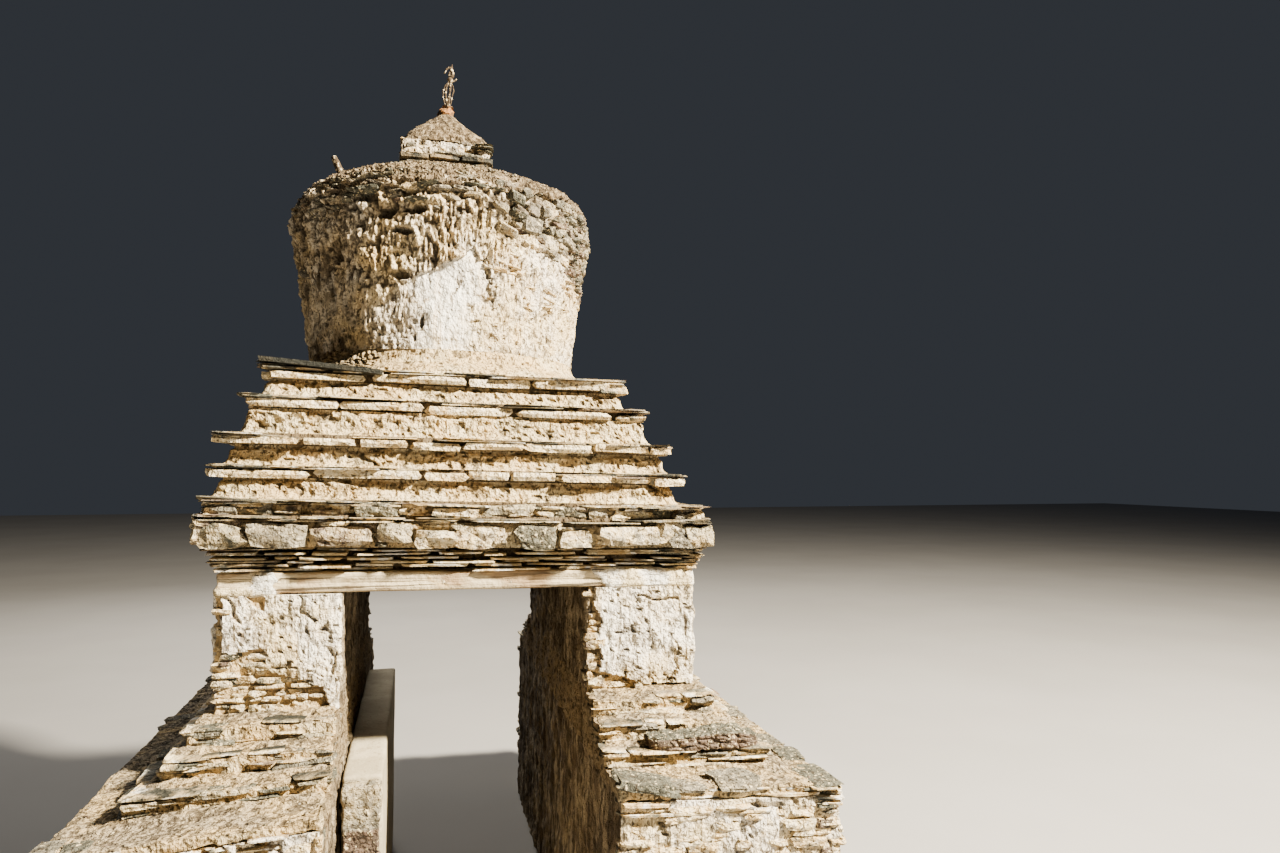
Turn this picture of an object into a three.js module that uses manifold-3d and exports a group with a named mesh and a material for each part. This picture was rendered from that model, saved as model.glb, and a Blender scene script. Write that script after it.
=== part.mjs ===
// A weathered gateway stupa of rubble, slate, mud and limewash.
// Units are millimetres. +Z is up, the front looks towards -Y, and the
// origin is on the ground at the middle of the passage.

import * as THREE from 'three';
import { mergeVertices } from 'three/addons/utils/BufferGeometryUtils.js';
import Module from 'manifold-3d';

// Passage and piers
const PASSAGE_HALF_WIDTH = 650;
const PASSAGE_HEIGHT = 2350;
const PIER_OUTER = 1290;
const TOWER_HALF_DEPTH = 1300;

// Plinths on both sides of the passage, and the stepped foot of each pier
const PLINTH_OUTER = 1800;
const PLINTH_HALF_DEPTH = 2110;
const PLINTH_BATTER = 25;
const PLINTH_WALL_TOP = 1430;
const LEDGE_TOP = 1490;
const LEDGE_OVERHANG = 12;
const FOOT_STEPS = [
  { name: 'lower_step', outer: 1560, halfDepth: 1820, top: 1565 },
  { name: 'middle_step', outer: 1440, halfDepth: 1660, top: 1655 },
  { name: 'upper_step', outer: 1370, halfDepth: 1500, top: 1745 },
];

// Long flat stone that lies on the lower step, right of the passage
const LOOSE_STONE = { from: 900, to: 1510, depth: 165, height: 85 };

// Bench along the left wall of the passage
const BENCH_WIDTH = 215;
const BENCH_TOP = 1400;
const BENCH_FRONT = -1480;
const BENCH_BACK = 1250;
const BENCH_END_LENGTH = 150;

// Timber over the passage
const LINTEL_HEIGHT = 120;
const LINTEL_DEPTH = 140;
const BEAM_COUNT = 7;
const BEAM_BEARING = 250;
const BEAM_WIDTH = 120;

// Courses of the tower, from the timber up: how thick each is, its half
// width, and how far the leaning tower has moved to the left at that height
const COURSES = [
  { name: 'lower_slate_course', height: 60, half: 1305, lean: 0, kind: 'slate' },
  { name: 'upper_slate_course', height: 70, half: 1330, lean: 0, kind: 'slate' },
  { name: 'cornice_stone_course', height: 135, half: 1380, lean: 0, kind: 'stone' },
  { name: 'cornice_slate_course', height: 35, half: 1372, lean: 0, kind: 'slate' },
  { name: 'upper_stone_course', height: 50, half: 1340, lean: -5, kind: 'stone' },
  { name: 'first_step_slates', height: 30, half: 1345, lean: -10, kind: 'slate' },
  { name: 'first_step_wall', height: 110, half: 1225, lean: -55, kind: 'wall' },
  { name: 'second_step_slates', height: 65, half: 1275, lean: -50, kind: 'slate' },
  { name: 'second_step_wall', height: 110, half: 1170, lean: -55, kind: 'wall' },
  { name: 'third_step_slates', height: 65, half: 1240, lean: -74, kind: 'slate' },
  { name: 'third_step_wall', height: 140, half: 1100, lean: -75, kind: 'wall' },
  { name: 'fourth_step_slates', height: 75, half: 1125, lean: -75, kind: 'slate' },
  { name: 'fourth_step_wall', height: 95, half: 990, lean: -90, kind: 'wall' },
  { name: 'top_slates', height: 75, half: 1030, lean: -90, kind: 'slate' },
];
const WALL_FLARE = 28;
const EDGE_WANDER = { slate: 14, stone: 12, wall: 5 };
const CORNER_REACH = { slate: 12, stone: -18, wall: -12 };
const POINTS_PER_SIDE = 9;
const MIDDLE_POINT = 5;

// Drum: an upside-down bell, widest near its shoulder
const DRUM_LEAN = -110;
const DRUM_SIDES = 48;
const DRUM_FOOT_HEIGHT = 150;
const DRUM_FOOT_RADIUS = 1015;
const DRUM_WAIST_RADIUS = 900;
const DRUM_BELLY_RADIUS = 1015;
const DRUM_HEIGHT = 1130;
const DRUM_TOP_RADIUS = 885;
const DRUM_RING_HEIGHT = 95;

// Where the drum's coat is worn back: degrees to the right of the front,
// heights above the drum's foot, and how deep. In turn: the smooth patch, the
// eroded band under the cap, and the bare rubble on the right and at the back
const DRUM_HOLLOWS = [
  { middle: 0, halfAngle: 13, bottom: 40, top: 540, depth: 16 },
  { middle: -18, halfAngle: 32, bottom: 780, top: 950, depth: 28 },
  { middle: 66, halfAngle: 47, bottom: 620, top: 1010, depth: 18 },
  { middle: 180, halfAngle: 35, bottom: 730, top: 1010, depth: 18 },
];
const HOLLOW_EDGE = 60;

// Broad bulges of the hand-built walls: how far they stand out and how far
// apart they are. Round the drum there are DRUM_BULGES of them
const BULGE = 12;
const BULGE_SPACING = 500;
const DRUM_BULGES = 11;
const WALL_RING_HEIGHT = 180;

// Mud cap over the drum, and the peg of wood left in its shoulder
const CAP_HEIGHT = 150;
const CAP_TOP_RADIUS = 430;
const PEG_RADIUS = 19;
const PEG_LENGTH = 150;
const PEG_AT = { x: -794, y: -400, aboveDrum: 86 };
const PEG_LEAN = THREE.MathUtils.degToRad(33);
const SEAT_GAP = 0.3;

// Small square box on the cap, its mud spire and the wooden finial
const HARMIKA_LEAN = -125;
const HARMIKA_COURSES = [
  { name: 'harmika_foot_slates', height: 115, half: 292, kind: 'slate' },
  { name: 'harmika_wall', height: 60, half: 268, kind: 'wall' },
  { name: 'harmika_top_slates', height: 40, half: 312, kind: 'slate' },
];
const SPIRE_HEIGHT = 285;
const SPIRE_FOOT_RADIUS = 300;
const SPIRE_TOP_RADIUS = 50;
const SPIRE_SIDES = 24;
const FINIAL_LEAN = -105;
const KNOB_RADIUS = 58;
const KNOB_HEIGHT = 63;
const BUD_HEIGHT = 187;
const BUD_HALF_WIDTH = 42;
const BUD_THICKNESS = 22;
const LOOP_HEIGHT = 80;
const LOOP_HALF_WIDTH = 26;
const NECK_HEIGHT = 25;
const NECK_RADIUS = 21;
const SPIKE_HEIGHT = 25;
const SPIKE_RADIUS = 9;

// Colours and finishes
const FINISHES = {
  limewash: { color: 0xe6dcc8, roughness: 0.95 },
  mud: { color: 0xc9b493, roughness: 1 },
  slate: { color: 0x716a5e, roughness: 0.85 },
  stone: { color: 0xa39a88, roughness: 0.9 },
  timber: { color: 0x8a6a4a, roughness: 0.8 },
  cement: { color: 0xd8c9aa, roughness: 0.9 },
};

const group = new THREE.Group();

function addPiece(name, finish, geometry) {
  const { color, roughness } = FINISHES[finish];
  const material = new THREE.MeshStandardMaterial({ color, roughness, metalness: 0 });
  const mesh = new THREE.Mesh(geometry, material);
  mesh.name = name;
  group.add(mesh);
  return mesh;
}

// A repeatable number from -1 to 1 for hand-laid edges
function wander(seed, step) {
  const wave = Math.sin(seed * 127.1 + step * 311.7) * 43758.5453;
  return 2 * (wave - Math.floor(wave)) - 1;
}

// Hand-laid outline of a course: each side wanders in and out a little and
// bellies out most at its middle, and corners reach out or are worn back
function courseShape(minX, maxX, minY, maxY, kind, seed, straightSides = []) {
  const corners = [[minX, minY], [maxX, minY], [maxX, maxY], [minX, maxY]];
  const outward = [[0, -1], [1, 0], [0, 1], [-1, 0]];
  const sideNames = ['front', 'right', 'back', 'left'];
  const points = [];
  corners.forEach(([startX, startY], side) => {
    const [endX, endY] = corners[(side + 1) % 4];
    const [normalX, normalY] = outward[side];
    const straight = straightSides.includes(sideNames[side]);
    const straightBefore = straightSides.includes(sideNames[(side + 3) % 4]);
    const [beforeX, beforeY] = outward[(side + 3) % 4];
    const reach = CORNER_REACH[kind];
    const reachHere = straight ? 0 : reach;
    const reachBefore = straightBefore ? 0 : reach;
    points.push(new THREE.Vector2(
      startX + normalX * reachHere + beforeX * reachBefore,
      startY + normalY * reachHere + beforeY * reachBefore,
    ));
    if (straight) return;
    for (let step = 1; step < POINTS_PER_SIDE; step += 1) {
      const along = (step + 0.25 * wander(seed + side, step + 40)) / POINTS_PER_SIDE;
      const belly = step === MIDDLE_POINT ? 1 : wander(seed + 10 * side, step);
      const out = EDGE_WANDER[kind] * belly;
      points.push(new THREE.Vector2(
        startX + (endX - startX) * along + normalX * out,
        startY + (endY - startY) * along + normalY * out,
      ));
    }
  });
  return new THREE.Shape(points);
}

function extrudeUp(shape, bottom, height, steps = 1) {
  const geometry = new THREE.ExtrudeGeometry(shape, { depth: height, steps, bevelEnabled: false });
  return geometry.translate(0, 0, bottom);
}

// How far a wall bulges at a distance along it and a height
function wallBulge(along, height) {
  const across = (2 * Math.PI * along) / BULGE_SPACING;
  const up = (2 * Math.PI * height) / BULGE_SPACING;
  return BULGE * Math.sin(across + 1.4 * Math.sin(up)) * Math.cos(up + 0.9 * Math.sin(0.37 * across));
}

// Upright wall with broad bulges on its three open sides. Its foot, its top and
// the side towards the passage stay flat
function bulgingWall(shape, bottom, top, passageX, outerX, halfDepth) {
  const steps = Math.round((top - bottom) / WALL_RING_HEIGHT);
  const geometry = extrudeUp(shape, bottom, top - bottom, steps);
  const position = geometry.getAttribute('position');
  const nearFace = 2 * EDGE_WANDER.wall + Math.abs(CORNER_REACH.wall);
  for (let i = 0; i < position.count; i += 1) {
    const x = position.getX(i);
    const y = position.getY(i);
    const z = position.getZ(i);
    const atEnd = z < bottom + 1 || z > top - 1;
    if (atEnd || Math.abs(x - passageX) < 1) continue;
    const atCorner = Math.abs(x - outerX) < nearFace && Math.abs(y) > halfDepth - nearFace;
    if (atCorner) continue;
    if (Math.abs(x - outerX) < nearFace) {
      position.setX(i, x + Math.sign(outerX) * wallBulge(y, z));
    } else {
      position.setY(i, y + Math.sign(y) * wallBulge(x, z));
    }
  }
  return geometry;
}

// Spreads the bottom ring of an extruded course outwards, as a worn foot does.
// keepX is the plane that stays upright.
function flareFoot(geometry, bottom, flare, keepX = null) {
  const position = geometry.getAttribute('position');
  for (let i = 0; i < position.count; i += 1) {
    if (position.getZ(i) > bottom + 1) continue;
    const x = position.getX(i);
    const y = position.getY(i);
    const upright = keepX !== null && Math.abs(x - keepX) < 1;
    position.setY(i, y + Math.sign(y) * flare * Math.min(1, Math.abs(y) / 500));
    if (upright) continue;
    position.setX(i, x + Math.sign(x) * flare * Math.min(1, Math.abs(x) / 500));
  }
  return geometry;
}

function box(minX, maxX, minY, maxY, minZ, maxZ) {
  const geometry = new THREE.BoxGeometry(maxX - minX, maxY - minY, maxZ - minZ);
  return geometry.translate((minX + maxX) / 2, (minY + maxY) / 2, (minZ + maxZ) / 2);
}

function turned(profile, sides, lean, bottom) {
  const points = profile.map(([radius, height]) => new THREE.Vector2(radius, height));
  const geometry = new THREE.LatheGeometry(points, sides);
  return geometry.rotateX(Math.PI / 2).translate(lean, 0, bottom);
}

// Plinth, ledge, stepped foot and pier on one side of the passage
function buildSide(sideName, side) {
  const inner = PASSAGE_HALF_WIDTH;
  const passageSide = side > 0 ? 'left' : 'right';
  const seedBase = side > 0 ? 3 : 7;
  const slab = (outer, halfDepth, kind, seed) => {
    const minX = side > 0 ? inner : -outer;
    const maxX = side > 0 ? outer : -inner;
    return courseShape(minX, maxX, -halfDepth, halfDepth, kind, seed, [passageSide]);
  };

  const wall = (outer, halfDepth, seed, wallBottom, wallTop) => bulgingWall(
    slab(outer, halfDepth, 'wall', seed), wallBottom, wallTop, side * inner, side * outer, halfDepth,
  );

  const plinth = wall(PLINTH_OUTER, PLINTH_HALF_DEPTH, seedBase, 0, PLINTH_WALL_TOP);
  flareFoot(plinth, 0, PLINTH_BATTER, side * inner);
  addPiece(`${sideName}_plinth`, 'limewash', plinth);

  const ledgeOuter = PLINTH_OUTER + LEDGE_OVERHANG;
  const ledgeHalfDepth = PLINTH_HALF_DEPTH + LEDGE_OVERHANG;
  const ledgeShape = slab(ledgeOuter, ledgeHalfDepth, 'wall', seedBase + 1);
  const ledge = extrudeUp(ledgeShape, PLINTH_WALL_TOP, LEDGE_TOP - PLINTH_WALL_TOP);
  addPiece(`${sideName}_ledge`, 'mud', ledge);

  let bottom = LEDGE_TOP;
  FOOT_STEPS.forEach((step, index) => {
    const shape = slab(step.outer, step.halfDepth, 'wall', seedBase + 2 + index);
    addPiece(`${sideName}_${step.name}`, 'mud', extrudeUp(shape, bottom, step.top - bottom));
    bottom = step.top;
  });

  const pier = wall(PIER_OUTER, TOWER_HALF_DEPTH, seedBase + 6, bottom, PASSAGE_HEIGHT);
  addPiece(`${sideName}_pier`, 'limewash', pier);
}

function buildLooseStone() {
  const { from, to, depth, height } = LOOSE_STONE;
  const [lowerStep, middleStep] = FOOT_STEPS;
  const back = -middleStep.halfDepth - EDGE_WANDER.wall - SEAT_GAP;
  const middle = (from + to) / 2;
  const shape = new THREE.Shape([
    new THREE.Vector2(from, back - depth * 0.6),
    new THREE.Vector2(from + 60, back - depth * 0.95),
    new THREE.Vector2(middle, back - depth),
    new THREE.Vector2(to - 50, back - depth * 0.85),
    new THREE.Vector2(to, back - depth * 0.45),
    new THREE.Vector2(to - 40, back),
    new THREE.Vector2(from + 30, back),
  ]);
  addPiece('loose_flat_stone', 'stone', extrudeUp(shape, lowerStep.top, height));
}

function buildBench() {
  const wall = -PASSAGE_HALF_WIDTH;
  const edge = wall + BENCH_WIDTH;
  const endBack = BENCH_FRONT + BENCH_END_LENGTH;
  addPiece('bench', 'cement', box(wall, edge, endBack, BENCH_BACK, 0, BENCH_TOP));
  addPiece('bench_end_block', 'stone', box(wall, edge, BENCH_FRONT, endBack, 0, BENCH_TOP));
}

// Eight-sided pole that lies along X, flat at its foot and its top
function buildPole(length, width, y, bottom) {
  const radius = width / 2 / Math.cos(Math.PI / 8);
  const pole = new THREE.CylinderGeometry(radius, radius, length, 8, 1, false, Math.PI / 8);
  pole.rotateZ(Math.PI / 2);
  pole.translate(0, y, bottom + width / 2);
  return flattenPole(pole, bottom, bottom + width);
}

// Puts the pole's foot and top exactly on the planes it touches
function flattenPole(pole, bottom, top) {
  const position = pole.getAttribute('position');
  for (let i = 0; i < position.count; i += 1) {
    const z = position.getZ(i);
    if (Math.abs(z - bottom) < 0.01) position.setZ(i, bottom);
    if (Math.abs(z - top) < 0.01) position.setZ(i, top);
  }
  return pole;
}

function buildTimber() {
  const top = PASSAGE_HEIGHT + LINTEL_HEIGHT;
  const front = -TOWER_HALF_DEPTH;
  const back = TOWER_HALF_DEPTH;
  const lintel = (minY) => box(
    -PIER_OUTER, PIER_OUTER, minY, minY + LINTEL_DEPTH, PASSAGE_HEIGHT, top,
  );
  addPiece('front_lintel', 'timber', lintel(front));
  addPiece('back_lintel', 'timber', lintel(back - LINTEL_DEPTH));

  const beamLength = 2 * (PASSAGE_HALF_WIDTH + BEAM_BEARING);
  const clearDepth = 2 * (TOWER_HALF_DEPTH - LINTEL_DEPTH);
  const spacing = clearDepth / BEAM_COUNT;
  for (let i = 0; i < BEAM_COUNT; i += 1) {
    const y = -clearDepth / 2 + spacing * (i + 0.5);
    const beam = buildPole(beamLength, BEAM_WIDTH, y, PASSAGE_HEIGHT);
    addPiece(`ceiling_beam_${i + 1}`, 'timber', beam);
  }

  const headInner = PASSAGE_HALF_WIDTH + BEAM_BEARING;
  const halfClear = clearDepth / 2;
  const head = (minX, maxX) => box(minX, maxX, -halfClear, halfClear, PASSAGE_HEIGHT, top);
  addPiece('left_wall_head', 'limewash', head(-PIER_OUTER, -headInner));
  addPiece('right_wall_head', 'limewash', head(headInner, PIER_OUTER));
}

const COURSE_FINISH = { slate: 'slate', stone: 'stone', wall: 'mud' };

// Lays the square courses one on another and returns the height reached
function buildCourses(courses, start, firstSeed, leanOf) {
  let bottom = start;
  courses.forEach((course, index) => {
    const { name, height, half, kind } = course;
    const lean = leanOf(course);
    const shape = courseShape(-half, half, -half, half, kind, firstSeed + index);
    const geometry = extrudeUp(shape, bottom, height);
    if (kind === 'wall') flareFoot(geometry, bottom, WALL_FLARE * Math.min(1, half / 900));
    geometry.translate(lean, 0, 0);
    addPiece(name, COURSE_FINISH[kind], geometry);
    bottom += height;
  });
  return bottom;
}

function buildDrum(bottom) {
  const footProfile = [
    [0, 0],
    [DRUM_FOOT_RADIUS, 0],
    [DRUM_FOOT_RADIUS - 12, 22],
    [DRUM_WAIST_RADIUS + 45, 75],
    [DRUM_WAIST_RADIUS, DRUM_FOOT_HEIGHT],
    [0, DRUM_FOOT_HEIGHT],
  ];
  addPiece('drum_foot', 'mud', turned(footProfile, DRUM_SIDES, DRUM_LEAN, bottom));

  const drumBottom = bottom + DRUM_FOOT_HEIGHT;
  const drum = turned(drumProfile(), DRUM_SIDES, DRUM_LEAN, drumBottom);
  addPiece('drum', 'limewash', wearDrum(drum, drumBottom));
  return drumBottom + DRUM_HEIGHT;
}

// Outline of the drum, with a ring of points every DRUM_RING_HEIGHT or less
function drumProfile() {
  const swell = DRUM_BELLY_RADIUS - DRUM_WAIST_RADIUS;
  const corners = [
    [DRUM_WAIST_RADIUS, 0],
    [DRUM_WAIST_RADIUS + 0.1 * swell, 0.12 * DRUM_HEIGHT],
    [DRUM_WAIST_RADIUS + 0.45 * swell, 0.38 * DRUM_HEIGHT],
    [DRUM_WAIST_RADIUS + 0.85 * swell, 0.65 * DRUM_HEIGHT],
    [DRUM_BELLY_RADIUS, 0.8 * DRUM_HEIGHT],
    [DRUM_BELLY_RADIUS - 48, 0.91 * DRUM_HEIGHT],
    [DRUM_TOP_RADIUS, DRUM_HEIGHT],
  ];
  const profile = [[0, 0], corners[0]];
  corners.slice(1).forEach(([radius, height], index) => {
    const [radiusBelow, heightBelow] = corners[index];
    const parts = Math.ceil((height - heightBelow) / DRUM_RING_HEIGHT);
    for (let part = 1; part <= parts; part += 1) {
      const share = part / parts;
      profile.push([
        radiusBelow + (radius - radiusBelow) * share,
        heightBelow + (height - heightBelow) * share,
      ]);
    }
  });
  profile.push([0, DRUM_HEIGHT]);
  return profile;
}

// 1 well inside a range and 0 at its ends, with a slope of the width edge
function within(value, low, high, edge) {
  return THREE.MathUtils.clamp(Math.min(value - low, high - value) / edge, 0, 1);
}

// How far the drum's wall stands out or is worn back, by angle and by height
function drumRelief(angle, height) {
  const up = (2 * Math.PI * height) / BULGE_SPACING;
  const round = DRUM_BULGES * angle;
  let relief = BULGE * Math.sin(round + 1.5 * Math.sin(up)) * Math.cos(up + 0.7 * Math.sin(3 * angle));
  relief *= within(height, 0, DRUM_HEIGHT, 2 * HOLLOW_EDGE);
  DRUM_HOLLOWS.forEach(({ middle, halfAngle, bottom, top, depth }) => {
    const turn = THREE.MathUtils.radToDeg(angle) - middle;
    const away = Math.abs(turn - 360 * Math.round(turn / 360));
    const edgeAngle = THREE.MathUtils.radToDeg(HOLLOW_EDGE / DRUM_BELLY_RADIUS);
    const inside = within(away, -halfAngle, halfAngle, edgeAngle);
    relief -= depth * inside * within(height, bottom, top, HOLLOW_EDGE);
  });
  return relief;
}

// Moves the drum's wall in and out. Its foot and its top stay as they are
function wearDrum(geometry, bottom) {
  const position = geometry.getAttribute('position');
  for (let i = 0; i < position.count; i += 1) {
    const x = position.getX(i) - DRUM_LEAN;
    const y = position.getY(i);
    const height = position.getZ(i) - bottom;
    if (height < 1 || height > DRUM_HEIGHT - 1) continue;
    const radius = Math.hypot(x, y);
    const worn = (radius + drumRelief(Math.atan2(x, -y), height)) / radius;
    position.setXY(i, DRUM_LEAN + x * worn, y * worn);
  }
  return geometry;
}

function capProfile() {
  return [
    [0, 0],
    [DRUM_TOP_RADIUS, 0],
    [0.8 * DRUM_TOP_RADIUS, 0.48 * CAP_HEIGHT],
    [CAP_TOP_RADIUS, CAP_HEIGHT],
    [0, CAP_HEIGHT],
  ];
}

function toSolid(wasm, geometry) {
  const bare = geometry.clone();
  bare.deleteAttribute('normal');
  bare.deleteAttribute('uv');
  const merged = mergeVertices(bare);
  return new wasm.Manifold(new wasm.Mesh({
    numProp: 3,
    vertProperties: new Float32Array(merged.getAttribute('position').array),
    triVerts: new Uint32Array(merged.getIndex().array),
  }));
}

function toGeometry(solid) {
  const mesh = solid.getMesh();
  const geometry = new THREE.BufferGeometry();
  geometry.setAttribute('position', new THREE.BufferAttribute(mesh.vertProperties, 3));
  geometry.setIndex(new THREE.BufferAttribute(mesh.triVerts, 1));
  return geometry;
}

// Mud cap, and a broken peg whose foot is cut to the slope of the cap
function buildCap(wasm, bottom) {
  const cap = turned(capProfile(), DRUM_SIDES, DRUM_LEAN, bottom);
  addPiece('drum_cap', 'mud', cap);

  const peg = new THREE.CylinderGeometry(PEG_RADIUS * 0.8, PEG_RADIUS, PEG_LENGTH, 8);
  peg.rotateX(Math.PI / 2);
  peg.rotateY(-PEG_LEAN);
  peg.translate(PEG_AT.x, PEG_AT.y, bottom + PEG_AT.aboveDrum);
  const seat = turned(capProfile(), DRUM_SIDES, DRUM_LEAN, bottom + SEAT_GAP);
  addPiece('shoulder_peg', 'timber', toGeometry(toSolid(wasm, peg).subtract(toSolid(wasm, seat))));
  return bottom + CAP_HEIGHT;
}

function buildSpire(bottom) {
  const profile = [
    [0, 0],
    [SPIRE_FOOT_RADIUS, 0],
    [0.93 * SPIRE_FOOT_RADIUS, 0.2 * SPIRE_HEIGHT],
    [0.69 * SPIRE_FOOT_RADIUS, 0.52 * SPIRE_HEIGHT],
    [0.38 * SPIRE_FOOT_RADIUS, 0.81 * SPIRE_HEIGHT],
    [SPIRE_TOP_RADIUS, SPIRE_HEIGHT],
    [0, SPIRE_HEIGHT],
  ];
  addPiece('mud_spire', 'mud', turned(profile, SPIRE_SIDES, HARMIKA_LEAN, bottom));
  return bottom + SPIRE_HEIGHT;
}

// A flat open loop of wood, standing upright in the XZ plane
function buildOpenLoop(halfWidth, height, thickness, bottom) {
  const outline = new THREE.Shape();
  outline.moveTo(-halfWidth * 0.4, 0);
  outline.lineTo(halfWidth * 0.4, 0);
  outline.lineTo(halfWidth, height * 0.45);
  outline.lineTo(halfWidth * 0.85, height * 0.75);
  outline.lineTo(halfWidth * 0.4, height);
  outline.lineTo(-halfWidth * 0.4, height);
  outline.lineTo(-halfWidth * 0.85, height * 0.75);
  outline.lineTo(-halfWidth, height * 0.45);
  const gap = new THREE.Path();
  gap.moveTo(0, height * 0.2);
  gap.lineTo(-halfWidth * 0.45, height * 0.48);
  gap.lineTo(0, height * 0.82);
  gap.lineTo(halfWidth * 0.45, height * 0.48);
  outline.holes.push(gap);
  const loop = new THREE.ExtrudeGeometry(outline, { depth: thickness, bevelEnabled: false });
  loop.rotateX(Math.PI / 2);
  return loop.translate(FINIAL_LEAN, thickness / 2, bottom);
}

function buildFinial(bottom) {
  const knobProfile = [
    [0, 0],
    [0.7 * KNOB_RADIUS, 0],
    [KNOB_RADIUS, 0.4 * KNOB_HEIGHT],
    [0.75 * KNOB_RADIUS, 0.8 * KNOB_HEIGHT],
    [0.45 * KNOB_RADIUS, KNOB_HEIGHT],
    [0, KNOB_HEIGHT],
  ];
  const sides = 12;
  addPiece('finial_knob', 'timber', turned(knobProfile, sides, FINIAL_LEAN, bottom));

  let top = bottom + KNOB_HEIGHT;
  const bud = buildOpenLoop(BUD_HALF_WIDTH, BUD_HEIGHT, BUD_THICKNESS, top);
  addPiece('finial_bud', 'timber', bud);
  top += BUD_HEIGHT;

  const neckProfile = [
    [0, 0],
    [0.8 * NECK_RADIUS, 0],
    [NECK_RADIUS, 0.5 * NECK_HEIGHT],
    [0.6 * NECK_RADIUS, NECK_HEIGHT],
    [0, NECK_HEIGHT],
  ];
  addPiece('finial_neck', 'timber', turned(neckProfile, sides, FINIAL_LEAN, top));
  top += NECK_HEIGHT;

  const loop = buildOpenLoop(LOOP_HALF_WIDTH, LOOP_HEIGHT, BUD_THICKNESS * 0.8, top);
  addPiece('finial_loop', 'timber', loop);
  top += LOOP_HEIGHT;

  const spikeProfile = [[0, 0], [SPIKE_RADIUS, 0], [0, SPIKE_HEIGHT]];
  addPiece('finial_spike', 'timber', turned(spikeProfile, sides, FINIAL_LEAN, top));
}

const wasm = await Module();
wasm.setup();

buildSide('left', -1);
buildSide('right', 1);
buildLooseStone();
buildBench();
buildTimber();
const courseTop = buildCourses(
  COURSES, PASSAGE_HEIGHT + LINTEL_HEIGHT, 20, (course) => course.lean,
);
const drumTop = buildDrum(courseTop);
const capTop = buildCap(wasm, drumTop);
const harmikaTop = buildCourses(HARMIKA_COURSES, capTop, 50, () => HARMIKA_LEAN);
const spireTop = buildSpire(harmikaTop);
buildFinial(spireTop);

export default group;
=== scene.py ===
import math
from types import SimpleNamespace

import bmesh
import bpy
import numpy as np
from mathutils import Matrix, Vector


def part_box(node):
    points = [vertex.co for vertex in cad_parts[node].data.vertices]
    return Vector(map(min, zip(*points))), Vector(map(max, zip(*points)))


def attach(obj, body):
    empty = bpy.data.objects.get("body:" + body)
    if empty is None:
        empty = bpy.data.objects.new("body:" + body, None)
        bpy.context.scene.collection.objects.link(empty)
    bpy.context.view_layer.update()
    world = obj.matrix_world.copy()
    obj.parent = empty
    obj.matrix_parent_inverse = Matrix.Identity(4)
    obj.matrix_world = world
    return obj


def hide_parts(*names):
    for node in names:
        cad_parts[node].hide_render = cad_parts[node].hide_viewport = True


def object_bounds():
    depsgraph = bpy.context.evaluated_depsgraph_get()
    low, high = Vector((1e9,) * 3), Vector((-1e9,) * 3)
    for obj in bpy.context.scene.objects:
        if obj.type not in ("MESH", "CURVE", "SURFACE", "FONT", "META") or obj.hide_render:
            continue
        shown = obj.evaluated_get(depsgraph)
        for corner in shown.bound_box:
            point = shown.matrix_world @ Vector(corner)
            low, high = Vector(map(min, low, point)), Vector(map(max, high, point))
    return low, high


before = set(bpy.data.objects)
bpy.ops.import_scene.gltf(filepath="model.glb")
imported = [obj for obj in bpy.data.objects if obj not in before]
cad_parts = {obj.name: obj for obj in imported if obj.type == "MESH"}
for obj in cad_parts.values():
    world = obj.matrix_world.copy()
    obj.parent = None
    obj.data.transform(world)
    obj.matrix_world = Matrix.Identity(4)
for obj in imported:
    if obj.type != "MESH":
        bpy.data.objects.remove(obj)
cad_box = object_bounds()

# The photograph's frame and the place that it was taken from, in metres
PHOTO_WIDTH = 1280
PHOTO_HEIGHT = 853
FOCAL_PIXELS = 870
HORIZON_ROW = 470
SENSOR_WIDTH = 36
CAMERA_PLACE = (-0.279, -6.21, 3.005)
CAMERA_TURN = math.radians(14.29)

# Fineness of the modelled surfaces, in metres between points
PLINTH_CELL = 0.0175
PIER_CELL = 0.0105
STEP_CELL = 0.015
TIER_CELL = 0.0115
DRUM_CELL = 0.0075
DRUM_COLUMN = 0.0118
CAP_CELL = 0.010

# How the building has settled: heights in metres, and the share of the movement at each.
# The tower has sunk to the right, and the outer rims of the plinths have sunk.
TOWER_SINKS = ([2.0, 2.35, 2.47, 2.6, 3.5, 3.6, 4.0], [0.0, 0.4, 0.8, 1.0, 1.0, 0.6, 0.0])
RIM_SINKS = ([1.0, 1.43, 1.49, 1.745], [0.0, 1.0, 1.0, 0.0])
TOWER_SINK = 0.020
TOWER_SLOPE = 0.024
RIM_SINK = 0.070

# Broad bulges of the hand-built walls, as in the CAD model
BULGE = 0.012
BULGE_SPACING = 0.50
DRUM_BULGES = 11

# Along the front of the building, and into it
ALONG = np.array([1.0, 0.0, 0.0])
INTO = np.array([0.0, 1.0, 0.0])

PASSAGE_HALF_WIDTH = float(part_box("right_plinth")[0][0])
PLINTH_WIDTH = float(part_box("right_plinth")[1][0]) - PASSAGE_HALF_WIDTH


# Noise and patterns. The large odd numbers scatter the values of neighbouring cells.

CELL_SCATTER = (374761393, 668265263, 1440662683, 1013904223)
CELL_MIX = 1274126177
CELL_VALUES = 0xFFFF
ROUGH_SCALE = 1.35


def cell_value(x, y, z, seed):
    """A repeatable number from 0 to 1 for each whole-numbered cell."""
    by_x, by_y, by_z, by_seed = CELL_SCATTER
    mixed = x * by_x + y * by_y + z * by_z + seed * by_seed
    mixed = (mixed ^ (mixed >> 13)) * CELL_MIX
    mixed = mixed ^ (mixed >> 16)
    return (mixed & CELL_VALUES) / CELL_VALUES


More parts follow.
